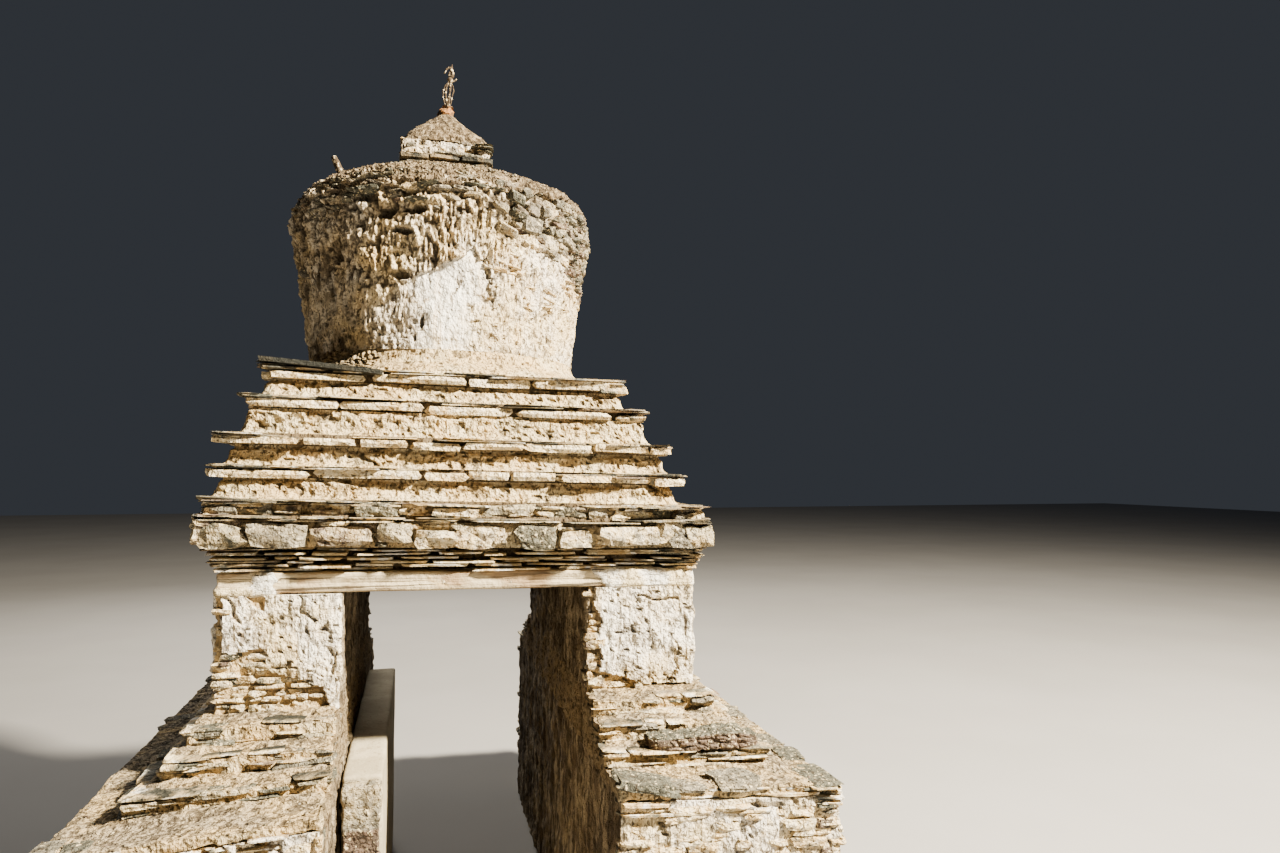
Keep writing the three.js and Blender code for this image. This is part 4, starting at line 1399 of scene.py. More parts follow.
# Rows of the thin slate courses under and over the cornice stones
CORNICE_ROW = {
    "thick": (0.010, 0.021), "length": (0.12, 0.46), "reach": (-0.060, 0.018),
    "depth": (0.16, 0.30), "wash": (0.9, 1.0), "gap": 0.04, "missing": 0.14, "tilt": 0.03,
}
CORNICE_ROWS = [dict(CORNICE_ROW, at=at) for at in (0.02, 0.36, 0.70)]
FLAT_ROWS = [
    dict(THIN_ROW, at=0.05, wash=(0.2, 0.9), missing=0.1),
    dict(THIN_ROW, at=0.50, wash=(0.0, 0.6), missing=0.3),
]

BIG_STONES = {
    "at": 0.0, "thick": (0.098, 0.138), "length": (0.16, 0.40), "reach": (-0.030, 0.014),
    "depth": (0.20, 0.30), "wash": (0.15, 0.80), "gap": 0.006, "tilt": 0.07,
}
SMALL_STONES = {
    "at": -0.35, "thick": (0.055, 0.085), "length": (0.10, 0.34), "reach": (-0.045, 0.008),
    "depth": (0.16, 0.24), "wash": (0.0, 0.8), "gap": 0.006, "tilt": 0.08,
}
CHINKING = {
    "thick": (0.015, 0.035), "length": (0.05, 0.16), "reach": (-0.050, -0.010),
    "depth": (0.12, 0.18), "wash": (0.1, 0.9), "gap": 0.10, "missing": 0.3, "tilt": 0.12,
}


def build_stone_course(name, seed, row, roundness):
    rng = np.random.default_rng(seed)
    low, high = box_of(name)
    height = high[2] - low[2]
    places = lay_row(rng, low, high, dict(row, at=low[2] + row["at"] * height))
    for share in (0.05, 0.75):
        places += lay_row(rng, low, high, dict(CHINKING, at=low[2] + share * height))
    lay_stones(name, stone_shape(roundness), places, "stone", seed, 0.12, [name])
    course_bed(name + "_bed", low, high, 0.052, seed, dark=0.35)


def build_mud_wall(name, seed, fillet):
    """A low mud-plastered wall whose foot spreads out over the slates below."""
    low, high = box_of(name)
    flare = 0.008
    low = low + np.array([flare, flare, 0.0])
    high = high - np.array([flare, flare, 0.0])
    mesh, points, outward = rounded_block(name, low, high, TIER_CELL, 0.04)
    above_foot = points[:, 2] - low[2]
    spread = fillet * (0.85 + 0.35 * rough(points, 0.25, 3, seed)) * np.exp(-above_foot / 0.024)
    lumpy = 0.011 * rough(points, 0.15, 3, seed + 4) + 0.011 * rough(points, 0.045, 3, seed + 5)
    fine = 0.010 * np.abs(lumps(points, (0.024, 0.024, 0.034), seed + 7)) - 0.005
    pocks = fade(rough(points, (0.036, 0.036, 0.022), 2, seed + 6), 0.38, 0.70)
    height = high[2] - low[2]
    uneven = above_foot + 0.012 * rough(points, 0.09, 2, seed + 8)
    undercut = 0.022 * fade(uneven, height - 0.030, height - 0.012)
    points += outward * (lumpy + fine + spread - 0.016 * pocks - undercut)[:, None]
    move_points(mesh, points)
    # The mud is a little darker towards its top, under the slabs.
    top_darkening = fade(above_foot, 0.7 * height, height)
    # Painted shade in the pocks and in the low parts of the lumpy face.
    hollow = np.clip(pocks + fade(-lumpy, 0.009, 0.02) * 0.5, 0, 1)
    paint(mesh, grit=0.15, dark=0.20 * top_darkening, hollow=hollow)
    add_piece(name, mesh, "mud", [name])


STEPPED = [
    ("first_step_wall", "second_step_slates"),
    ("second_step_wall", "third_step_slates"),
    ("third_step_wall", "fourth_step_slates"),
    ("fourth_step_wall", "top_slates"),
]


def build_tower():
    for seed, name in enumerate(("lower_slate_course", "upper_slate_course")):
        build_slate_course(name, 200 + seed, CORNICE_ROWS, tips=0.02, inset=0.10)
    build_stone_course("cornice_stone_course", 301, BIG_STONES, 7.0)
    build_slate_course("cornice_slate_course", 203, FLAT_ROWS, tips=0.02)
    build_stone_course("upper_stone_course", 302, SMALL_STONES, 8.0)
    build_slate_course("first_step_slates", 205, FLAT_ROWS, tips=0.03)
    for seed, (wall, slates) in enumerate(STEPPED):
        build_mud_wall(wall, 320 + seed, 0.050)
        build_slate_course(slates, 210 + seed, STEP_ROWS, tips=0.025, slabs=SLAB_ROW)
    build_raised_slate()


def build_raised_slate():
    """The long dark slate that rises at the left front corner of the top course."""
    low, high = box_of("top_slates")
    centre = np.array([low[0] + 0.32, low[1] + 0.08, high[2] + 0.010])
    run = np.array([1.0, 0.0, -0.075])
    places = [place_on(centre, run, INTO, (0.70, 0.22, 0.044), wash=0.0, tone=0.0)]
    lay_stones("raised_slate", slate_shape(), places, "slate", 9, 0.03)


# Drum

# The drum's foot spreads as wide as the drum's belly, so it gives the middle and the radius
DRUM_LOW, DRUM_HIGH = box_of("drum")
DRUM_HEIGHT = DRUM_HIGH[2] - DRUM_LOW[2]
DRUM_FOOT_LOW, DRUM_FOOT_HIGH = box_of("drum_foot")
DRUM_BELLY = float(DRUM_FOOT_HIGH[0] - DRUM_FOOT_LOW[0]) / 2
DRUM_MIDDLE = np.array([float(DRUM_FOOT_LOW[0] + DRUM_FOOT_HIGH[0]) / 2, 0.0, DRUM_LOW[2]])
METRES_A_DEGREE = math.radians(1) * DRUM_BELLY
RUBBLE_TRIES = 3700

# Shares of the belly's radius, and of the drum's height
DRUM_OUTLINE = [
    (0.867, 0.0), (0.888, 0.15), (0.932, 0.45), (0.968, 0.65), (0.990, 0.76), (0.990, 0.82),
    (0.955, 0.90), (0.90, 0.96), (0.84, 1.0),
]

# Drawn on the drum, as (degrees to the right of the front, height in metres)
SMOOTH_PATCH = [
    (-15.1, 4.140), (-12.4, 4.167), (-5.4, 4.206), (0.3, 4.258), (5.9, 4.302), (9.1, 4.344),
    (9.8, 4.276), (11.6, 4.273), (12.8, 4.292), (14.0, 4.251), (12.8, 4.205), (16.1, 4.163),
    (14.5, 4.122), (16.5, 4.032), (17.0, 3.700), (-19.0, 3.700), (-17.0, 4.056),
]
DRUM_CRACKS = [
    [(-0.7, 4.664), (-1.0, 4.50), (-0.2, 4.40), (-0.4, 4.281)],
    [(13.7, 4.583), (13.3, 4.50), (14.3, 4.432)],
    [(-62.3, 4.16), (-62.9, 4.005), (-60.0, 3.90)],
    [(-55.2, 3.92), (-56.0, 3.84)],
    [(0.6, 4.02), (0.9, 4.06), (3.0, 4.10), (3.6, 4.14)],
    [(7.0, 4.00), (9.2, 3.99), (9.0, 3.96)],
    [(11.8, 4.29), (12.5, 4.24), (14.5, 4.19), (16.0, 4.14)],
    [(8.0, 3.90), (11.0, 3.91)],
    [(-36.0, 4.50), (-34.0, 4.20), (-35.5, 3.95)],
    [(120.0, 4.50), (124.0, 4.30), (118.0, 4.12)],
    [(175.0, 4.40), (168.0, 4.22), (172.0, 4.00)],
    [(-140.0, 4.55), (-136.0, 4.30)],
]
# Each with half its width and height, and its depth, in metres
DRUM_HOLES = [
    (-22.1, 4.532, 0.062, 0.032, 0.060), (-17.9, 4.168, 0.060, 0.030, 0.045),
    (-5.0, 4.324, 0.016, 0.045, 0.035), (-10.1, 3.892, 0.012, 0.045, 0.035),
    (-12.6, 3.801, 0.014, 0.028, 0.025), (-16.8, 4.424, 0.080, 0.022, 0.040),
    (-11.4, 4.548, 0.080, 0.028, 0.055), (-16.5, 4.680, 0.050, 0.035, 0.050),
    (-30.0, 4.640, 0.070, 0.045, 0.035), (-26.0, 4.36, 0.020, 0.060, 0.025),
    (-5.4, 4.265, 0.030, 0.018, 0.030), (24.5, 4.62, 0.030, 0.050, 0.040),
    (35.0, 4.66, 0.060, 0.020, 0.040), (36.5, 4.575, 0.025, 0.040, 0.035),
    (14.0, 4.200, 0.014, 0.035, 0.025), (-44.0, 4.30, 0.05, 0.05, 0.03),
    (95.0, 4.35, 0.05, 0.03, 0.03), (150.0, 4.45, 0.07, 0.05, 0.04),
    (-110.0, 4.40, 0.06, 0.04, 0.04), (-160.0, 4.15, 0.04, 0.05, 0.03),
]


def drum_rubble(angle, height, points):
    """1 where the drum's coat is gone and its stones show: upper right, and upper back."""
    degrees = np.degrees(angle)
    right = fade(degrees, 14, 24) * (1 - fade(degrees, 105, 122))
    right_foot = 4.42 - 0.22 * fade(degrees, 30, 65) + 0.10 * rough(points, 0.2, 2, 431)
    back = fade(np.abs(degrees), 140, 150)
    back_foot = 4.46 + 0.10 * rough(points, 0.25, 2, 432)
    shown = right * fade(height - right_foot, -0.01, 0.03)
    return np.maximum(shown, back * fade(height - back_foot, -0.01, 0.03))


def drum_bulge(angle, above_foot):
    """The same broad bulges as the CAD drum has, fading at its foot and its top."""
    up = 2 * math.pi * above_foot / BULGE_SPACING
    turn = DRUM_BULGES * angle
    bulge = BULGE * np.sin(turn + 1.5 * np.sin(up)) * np.cos(up + 0.7 * np.sin(3 * angle))
    return bulge * fade(np.minimum(above_foot, DRUM_HEIGHT - above_foot), 0.0, 0.12)


def drum_radius(height):
    """The drum's radius at a height, before it is worn."""
    rise = (height - DRUM_LOW[2]) / DRUM_HEIGHT
    shares = [share for share, level in DRUM_OUTLINE]
    levels = [level for share, level in DRUM_OUTLINE]
    return DRUM_BELLY * np.interp(rise, levels, shares)


def drum_zones(points):
    """Where each point of the drum lies, and how much of each kind of wear is there."""
    angle, _, outward = around(points, DRUM_MIDDLE)
    degrees = np.degrees(angle) + 0.9 * lumps(points, 0.03, 400)
    level = points[:, 2] + 0.010 * lumps(points, 0.035, 401)
    rise = (points[:, 2] - DRUM_LOW[2]) / DRUM_HEIGHT
    smooth = inside_path(degrees, level, SMOOTH_PATCH)
    soft = fade(degrees, -19, -4) * (1 - fade(degrees, 6, 17))
    patch = smooth * np.maximum(soft, fade(level, 4.03, 4.12))
    rubble = drum_rubble(angle, points[:, 2], points)
    grooved = 0.9 * rough(points, 0.45, 3, 403) + 1.6 * (rise - 0.30)
    grooved += 0.6 * fade(-degrees, -20, 10)
    grooved = (0.40 + 0.60 * fade(grooved, 0.0, 0.6) * fade(-degrees, -50, -10)) * (1 - patch)
    grooved *= 1 - 0.65 * smooth * fade(degrees, -26, -16)
    grooved *= 0.55 + 0.45 * fade(level, 3.98, 4.16)
    band = fade(rise, 0.62, 0.74) * (1 - rubble)
    return SimpleNamespace(
        angle=angle, outward=outward, degrees=degrees, level=level, rise=rise, patch=patch,
        sunk=smooth * fade(level, 3.90, 4.12), rubble=rubble, grooved=grooved, band=band,
        eroded=band * fade(degrees, -54, -40) * (1 - fade(degrees, 8, 18)),
    )


def cut_drum(depth, zones):
    """Sinks the drawn holes and cracks into depth. Returns how far each point is in a hole."""
    holes = np.zeros(len(depth))
    across = zones.degrees * METRES_A_DEGREE
    for turn, at, wide, tall, deep in DRUM_HOLES:
        away = np.hypot((zones.degrees - turn) * METRES_A_DEGREE / wide, (zones.level - at) / tall)
        hole = 1 - fade(away, 0.70, 1.1)
        depth -= deep * hole
        holes = np.maximum(holes, hole)
    for path in DRUM_CRACKS:
        drawn = [(turn * METRES_A_DEGREE, at) for turn, at in path]
        near = from_path(across, zones.level, drawn)
        depth -= 0.022 * (1 - fade(near, 0.0, 0.012))
    return holes


def drum_relief(points, zones):
    """How far the drum's coat stands out, and how much painted shade its dips and holes get at each
    point.
    """
    bent = points + 0.008 * np.stack([rough(points, 0.05, 2, 420 + n) for n in range(3)], axis=1)
    flakes = np.abs(lumps(bent, (0.021, 0.021, 0.110), 404))
    flakes += 0.7 * np.abs(lumps(bent, (0.034, 0.034, 0.060), 405))
    flakes += 0.45 * lumps(points, (0.012, 0.012, 0.030), 406)
    uncovered = 1 - zones.patch
    shaded_pits = fade(rough(points, (0.034, 0.034, 0.020), 2, 409), 0.42, 0.75) * uncovered
    craggy = packed(bent, (0.11, 0.11, 0.060), 407) - 0.35 + 0.6 * rough(points, 0.04, 2, 408)
    depth = drum_bulge(zones.angle, points[:, 2] - DRUM_LOW[2])
    depth += 0.006 * rough(points, 0.10, 3, 412)
    standing = 0.026 * (flakes - 0.62) * zones.grooved + 0.030 * zones.band * craggy
    depth += standing - 0.018 * zones.sunk
    bedding = zones.rubble * (0.014 * rough(points, 0.04, 2, 413) - 0.040)
    depth += bedding - 0.018 * zones.eroded
    depth -= 0.010 * shaded_pits
    depth += 0.006 * np.abs(lumps(points, (0.022, 0.022, 0.030), 410)) * uncovered - 0.002
    depth += 0.004 * rough(points, (0.022, 0.022, 0.13), 3, 418) * zones.patch
    holes = cut_drum(depth, zones)
    # Painted shade in the holes, in the grooves between the flakes, in the band's craggy dips and
    # in the small dips of the coat.
    shaded_crevices = 1 - fade(flakes + 0.35 * (1 - zones.grooved), 0.12, 0.40)
    hollow = holes + shaded_crevices * uncovered + zones.band * fade(-craggy, 0.1, 0.5) + 0.6 * shaded_pits
    return depth, hollow


def drum_tints(points, zones, hollow):
    """What the drum's limewash reads: its mud, the painted shade in its dips, its cream and its
    calm parts.
    """
    uncovered = 1 - zones.patch
    # Painted shade in the bedding between the stones of the bare rubble.
    hollow = hollow + zones.rubble * (0.45 + fade(-rough(points, 0.04, 2, 413), 0.0, 0.4))
    streaked = fade(zones.degrees, -34, -24) * (1 - fade(zones.level, 4.15, 4.30))
    streaked *= fade(10 - zones.degrees, 0, 20)
    washed_down = fade(zones.rise + 0.10 * rough(points, (0.08, 0.08, 0.5), 3, 415), 0.62, 0.92)
    uneven = 0.7 + 0.5 * rough(points, (0.10, 0.10, 0.6), 3, 417)
    # Mud and painted shade: the left side, away from the key light, gets more mud colour, which
    # also darkens it as shade.
    left_mud_and_shade = fade(-zones.degrees, 24, 46) * uneven
    earth = np.maximum(0.42 * washed_down, 0.58 * left_mud_and_shade) * uncovered * (1 - 0.4 * zones.rubble)
    earth *= 1 - 0.8 * streaked
    earth += 0.25 * (1 - fade(zones.rise, 0.0, 0.12)) * uncovered
    cream = uncovered * (0.75 + 0.35 * rough(points, 0.35, 2, 416)) * (1 - 0.5 * streaked)
    return {
        "bare": 0.0,
        "earth": np.clip(earth, 0, 1),
        "hollow": np.clip(hollow, 0, 1),
        "cream": np.clip(cream, 0, 1),
        "calm": np.maximum(0.45 * zones.patch, 0.25 * streaked),
    }


def build_drum():
    corners = [(share * DRUM_BELLY, rise * DRUM_HEIGHT) for share, rise in DRUM_OUTLINE]
    outline = curve_through(corners, DRUM_CELL)
    mesh = to_mesh(spun(outline, DRUM_COLUMN, DRUM_MIDDLE), "drum")
    points = gather_at_front(points_of(mesh), DRUM_MIDDLE)
    zones = drum_zones(points)
    depth, hollow = drum_relief(points, zones)
    points += zones.outward * depth[:, None]
    move_points(mesh, points)
    paint(mesh, **drum_tints(points, zones, hollow))
    add_piece("drum", mesh, "limewash", ["drum"])
    build_drum_stones()
    build_drum_foot()


def drum_place(rng, degrees, height, sizes, push, wash, droop=0.0, roll=0.0, tone=None):
    """The place of a stone set in the drum's wall. push is how far it stands out."""
    turn = math.radians(degrees)
    out = np.array([math.sin(turn), -math.cos(turn), 0.0])
    run = np.array([math.cos(turn), math.sin(turn), 0.0])
    centre = DRUM_MIDDLE + out * (drum_radius(height) + push - sizes[1] / 2)
    centre[2] = height
    return place_on(centre, run, -out, sizes, rng.uniform(-0.1, 0.1), droop, roll, wash, tone)


# Stones drawn in the drum's front: degrees to the right, height, width, thickness, how far
# each stands out, its roll, its limewash and its tone
DRUM_STONES = [
    (-8.5, 4.692, 0.135, 0.036, 0.030, 0.20, 0.0, 0.05),
    (-3.6, 4.671, 0.120, 0.052, 0.018, 0.05, 0.1, 0.60),
    (4.0, 4.682, 0.100, 0.052, 0.016, -0.10, 0.1, 0.60),
    (9.8, 4.713, 0.155, 0.034, 0.026, -0.06, 0.0, 0.05),
    (7.3, 4.651, 0.085, 0.040, 0.012, 0.10, 0.8, 0.40),
    (15.9, 4.703, 0.110, 0.030, 0.024, 0.04, 0.0, 0.10),
    (-13.7, 4.673, 0.085, 0.080, 0.022, 0.10, 0.5, 0.60),
    (-11.4, 4.600, 0.135, 0.026, 0.020, 0.06, 0.0, 0.15),
    (-29.3, 4.666, 0.130, 0.065, 0.026, 0.10, 0.0, 0.10),
    (23.9, 4.677, 0.095, 0.088, 0.022, -0.20, 0.0, 0.08),
    (28.9, 4.726, 0.085, 0.066, 0.018, 0.00, 0.1, 0.30),
    (36.4, 4.771, 0.095, 0.054, 0.016, 0.10, 0.2, 0.40),
    (30.7, 4.619, 0.105, 0.092, 0.026, -0.15, 0.0, 0.60),
    (36.8, 4.629, 0.072, 0.064, 0.016, 0.10, 0.0, 0.45),
    (30.9, 4.528, 0.160, 0.122, 0.022, -0.15, 0.1, 0.42),
    (39.8, 4.524, 0.065, 0.062, 0.014, 0.20, 0.0, 0.30),
    (17.7, 4.597, 0.115, 0.055, 0.020, -0.20, 0.3, 0.60),
    (20.6, 4.462, 0.145, 0.052, 0.024, -0.35, 0.4, 0.60),
    (30.8, 4.421, 0.135, 0.060, 0.012, -0.30, 0.6, 0.42),
    (40.9, 4.438, 0.150, 0.125, 0.014, -0.30, 0.4, 0.42),
    (25.0, 4.349, 0.110, 0.058, 0.008, -0.10, 1.0, 0.42),
    (33.8, 4.277, 0.095, 0.045, 0.008, -0.10, 1.0, 0.42),
    (42.2, 4.289, 0.095, 0.045, 0.008, -0.20, 0.9, 0.42),
    (42.9, 4.233, 0.090, 0.036, 0.006, -0.10, 1.0, 0.42),
    (50.8, 4.369, 0.110, 0.070, 0.012, -0.10, 0.6, 0.42),
    (45.8, 4.724, 0.100, 0.060, 0.018, 0.10, 0.1, 0.30),
    (-66.1, 4.247, 0.090, 0.045, 0.045, 0.10, 0.0, 0.60),
]


def drawn_rubble(rng):
    """Places of the drawn stones. Those under the cap's rim are flatter."""
    places = []
    for degrees, height, wide, thick, push, roll, wash, tone in DRUM_STONES:
        if height > 4.64 and degrees < 20:
            wide, thick = 1.25 * wide, 0.62 * thick
        sizes = (wide, rng.uniform(0.11, 0.16), thick)
        places.append(drum_place(rng, degrees, height, sizes, push, wash, -0.1, roll, tone))
    return places


def scattered_rubble(rng):
    """Places of the other stones: in the bare parts, under the rim, and washed at the right."""
    places = []
    drawn = np.array([[math.radians(stone[0]) * DRUM_BELLY, stone[1]] for stone in DRUM_STONES])
    for _ in range(RUBBLE_TRIES):
        degrees = rng.uniform(-180, 180)
        at = rng.uniform(4.00, 4.80)
        turn = math.radians(degrees)
        spot = np.array([[DRUM_BELLY * math.sin(turn), -DRUM_BELLY * math.cos(turn), at]])
        spot[0, :2] += DRUM_MIDDLE[:2]
        away = np.hypot(drawn[:, 0] - turn * DRUM_BELLY, drawn[:, 1] - at).min()
        bare = drum_rubble(np.array([turn]), np.array([at]), spot)[0] > 0.5
        rim = at > 4.60 + 0.05 * math.sin(9 * turn)
        showing = 15 < degrees < 75 and at < 4.45 and rng.uniform() < 0.45
        if away < 0.075 or not (bare or rim or showing):
            continue
        wide = rng.uniform(0.035, 0.12) if bare else rng.uniform(0.05, 0.16)
        thick = wide * rng.uniform(0.28, 0.60) if bare else rng.uniform(0.012, 0.028)
        wash = rng.uniform(0.0, 0.3) if rim else rng.uniform(0.0, 0.35)
        if not (bare or rim):
            wash = 1.0
        places.append(drum_place(
            rng, degrees, at, (wide, rng.uniform(0.07, 0.13), min(thick, 0.06)),
            rng.uniform(-0.026, 0.013), wash, rng.uniform(-0.3, 0.1), rng.uniform(-0.3, 0.15),
        ))
    return places


def build_drum_stones():
    """Rubble in the drum's bare parts, and flat stones under the rim of the cap."""
    rng = np.random.default_rng(77)
    stones = drawn_rubble(rng) + scattered_rubble(rng)
    lay_stones("drum_stones", stone_shape(4.0), stones, "stone", 78, 0.13)


def build_drum_foot():
    """Mud fillet that spreads from the drum over the top slates, with crumbs on the left."""
    low, high = box_of("drum_foot")
    middle = foot_of(low, high)
    wide = (high[0] - low[0]) / 2
    height = high[2] - low[2]
    waist = drum_radius(high[2])
    slope = [
        (1.01 * wide, -0.01), (0.97 * wide, 0.20 * height), (waist + 0.035, 0.55 * height),
        (waist + 0.004, 1.05 * height),
    ]
    outline = curve_through(slope, 0.012)
    mesh = to_mesh(spun(outline, 0.0135, middle), "drum_foot")
    points = points_of(mesh)
    angle, _, outward = around(points, middle)
    degrees = np.degrees(angle)
    crumbly = fade(-degrees, 22, 32) * fade(degrees, -75, -60)
    depth = 0.012 * rough(points, 0.2, 3, 422) + 0.008 * rough(points, 0.04, 3, 423) - 0.010
    depth -= 0.012 * fade(rough(points, (0.04, 0.04, 0.025), 2, 424), 0.45, 0.75)
    depth += crumbly * (0.022 * fade(packed(points, 0.036, 421), 0.05, 0.4) - 0.006)
    spread = fade(degrees, 22, 45) * (1 - fade(degrees, 75, 100))
    above = np.maximum(points[:, 2] - low[2], 0)
    depth += 0.13 * spread * (0.8 + 0.5 * rough(points, 0.12, 3, 425)) * np.exp(-above / 0.030)
    points += outward * depth[:, None]
    move_points(mesh, points)
    # Painted shade in the low parts of the crumbly left front.
    hollow = 0.5 * crumbly * fade(-depth, 0.0, 0.02)
    paint(mesh, grit=0.25 + 0.5 * crumbly, dark=0.0, hollow=hollow)
    add_piece("drum_foot", mesh, "mud", ["drum_foot"])


# Cap, harmika and spire

# Radii and heights in metres, from under the lip to the crown. The slope that gravel lies on
# starts at the corner numbered CAP_SHOULDER.
CAP_SHOULDER = 3
CAP_OUTLINE = [
    (0.80, -0.125), (0.955, -0.160), (0.988, -0.140), (0.965, -0.105), (0.930, -0.052),
    (0.880, -0.009), (0.800, 0.031), (0.700, 0.071), (0.600, 0.099), (0.500, 0.127),
    (0.430, 0.146), (0.300, 0.149), (0.020, 0.150),
]


def build_cap():
    """The gravelly mud cap, whose ragged lip hangs over the top of the drum's wall."""
    low, high = box_of("drum_cap")
    middle = foot_of(low, high)
    outline = curve_through(CAP_OUTLINE, CAP_CELL)
    mesh = to_mesh(spun(outline, CAP_CELL, middle), "drum_cap")
    points = gather_at_front(points_of(mesh), middle)
    angle, radius, outward = around(points, middle)
    crown = fade(radius, 0.30, 0.50)
    lip = fade(low[2] + 0.02 - points[:, 2], 0.0, 0.12)
    ragged = rough(points * np.array([1, 1, 0]), 0.16, 4, 451)
    degrees = np.degrees(angle)
    stony = fade(degrees, 20, 40) * (1 - fade(degrees, 80, 100))
    points[:, 2] += lip * (0.040 * ragged + 0.035 * stony - 0.004)
    bumps = 0.009 * rough(points, 0.16, 3, 433) + 0.007 * rough(points, 0.035, 2, 434)
    bumps += 0.008 * (fade(packed(points, 0.024, 435), 0.0, 0.5) - 0.5)
    points += outward * ((bumps - 0.006) * fade(radius, 0.5, 0.8))[:, None]
    points[:, 2] += (bumps - 0.003) * crown
    points[:, 2] = np.minimum(points[:, 2], high[2])
    move_points(mesh, points)
    dark = np.clip(0.92 + 0.16 * rough(points, 0.3, 3, 437) + 0.10 * lip, 0, 0.97)
    # Painted shade in the low parts between the bumps.
    paint(mesh, grit=1.0, dark=dark, hollow=0.6 * fade(-bumps, 0.008, 0.018))
    add_piece("drum_cap", mesh, "mud", ["drum_cap"])


def cap_pebbles(rng):
    """Middles and sizes of the gravel on the cap."""
    middle = foot_of(*box_of("drum_cap"))
    slope = CAP_OUTLINE[CAP_SHOULDER:][::-1]
    radii = [radius for radius, height in slope]
    heights = [height for radius, height in slope]
    places = []
    for _ in range(CAP_PEBBLES):
        turn = rng.uniform(-math.pi, math.pi)
        radius = math.sqrt(rng.uniform(0.32 ** 2, 0.96 ** 2))
        place = middle + np.array([radius * math.sin(turn), -radius * math.cos(turn), 0.0])
        level = float(np.interp(radius, radii, heights))
        place[2] = place[2] + level - 0.003
        places.append((place, 0.006 + 0.018 * rng.uniform() ** 3))
    return places


def build_peg():
    """The split stub of wood in the cap's left shoulder."""
    low, high = box_of("shoulder_peg")
    bm = bmesh.new()
    foot = Vector((high[0] - 0.022, (low[1] + high[1]) / 2, low[2] - 0.02))
    tip = Vector((low[0] + 0.018, (low[1] + high[1]) / 2, high[2] - 0.006))
    path = [foot.lerp(tip, step / 8) for step in range(9)]
    rod(bm, path, [0.024, 0.023, 0.022, 0.023, 0.021, 0.022, 0.021, 0.020, 0.016], 12)
    mesh = to_mesh(bm, "shoulder_peg")
    points = points_of(mesh)
    for axis in (0, 1):
        points[:, axis] += 0.004 * rough(points, (0.012, 0.012, 0.2), 2, 5 + axis)
    move_points(mesh, points)
    paint(mesh, wash=0.0, old=1.0, clay=0.0)
    add_piece("shoulder_peg", mesh, "timber", ["shoulder_peg"], smooth=True)


HARMIKA_SLAB = dict(
    SLAB_ROW, at=0.66, thick=(0.038, 0.048), length=(0.14, 0.40), wash=(0.0, 0.2),
    tone=(0.2, 0.5),
)
HARMIKA_STUB = dict(
    CHINKING, length=(0.05, 0.14), reach=(-0.05, -0.02), wash=(0.0, 0.4), missing=0.1,
)
HARMIKA_FOOT_ROWS = [dict(HARMIKA_STUB, at=0.05), dict(HARMIKA_STUB, at=0.36), HARMIKA_SLAB]
HARMIKA_STONES = {
    "thick": (0.015, 0.026), "length": (0.03, 0.11), "reach": (-0.008, 0.022),
    "depth": (0.07, 0.11), "wash": (0.9, 1.0), "gap": 0.02, "missing": 0.35, "tilt": 0.15,
}
HARMIKA_SLATE = dict(
    THIN_ROW, length=(0.04, 0.14), reach=(-0.030, 0.004), depth=(0.08, 0.14), wash=(0.3, 1.0),
    missing=0.5,
)
HARMIKA_TOP_ROWS = [dict(HARMIKA_SLATE, at=at) for at in (0.05, 0.38, 0.70)]

# Each stone's place across, in from the front and up from the top, its sizes, roll and tone
RIM_STONES = [
    (0.000, 0.09, -0.010, (0.115, 0.12, 0.042), -0.16, 0.62),
    (-0.060, 0.13, 0.022, (0.080, 0.10, 0.020), -0.15, 0.05),
    (0.095, 0.09, -0.006, (0.045, 0.08, 0.036), 0.10, 0.62),
    (0.125, 0.07, -0.018, (0.130, 0.16, 0.012), 0.05, 0.02),
    (0.115, 0.08, -0.036, (0.150, 0.18, 0.014), 0.02, 0.02),
    (0.130, 0.09, -0.054, (0.120, 0.16, 0.012), -0.03, 0.02),
    (-0.035, 0.09, -0.088, (0.390, 0.14, 0.034), -0.01, 0.30),
    (-0.350, 0.07, -0.050, (0.070, 0.10, 0.030), 0.05, 0.45),
]


def build_harmika():
    """The small square box on the cap: slabs at its foot, small washed stones, thin slates."""
    build_slate_course("harmika_foot_slates", 501, HARMIKA_FOOT_ROWS, inset=0.045)
    rng = np.random.default_rng(502)
    low, high = box_of("harmika_wall")
    places = []
    for layer in range(3):
        places += lay_row(rng, low, high, dict(HARMIKA_STONES, at=low[2] + 0.020 * layer))
    lay_stones("harmika_wall", stone_shape(4.0), places, "stone", 502, 0.14, ["harmika_wall"])
    build_harmika_coat()
    build_slate_course("harmika_top_slates", 503, HARMIKA_TOP_ROWS, inset=0.03, worn=0.03)
    build_rim_stones()


def build_rim_stones():
    """The stones that lie loose on the harmika's front edge."""
    low, high = box_of("harmika_top_slates")
    places = []
    for across, back, up, sizes, roll, tone in RIM_STONES:
        centre = np.array([across, low[1] + back, high[2] + up])
        places.append(place_on(centre, ALONG, INTO, sizes, roll=roll, wash=0.12, tone=tone))
    lay_stones("harmika_rim_stones", stone_shape(4.0, (6, 2, 3)), places, "stone", 3, 0.09)


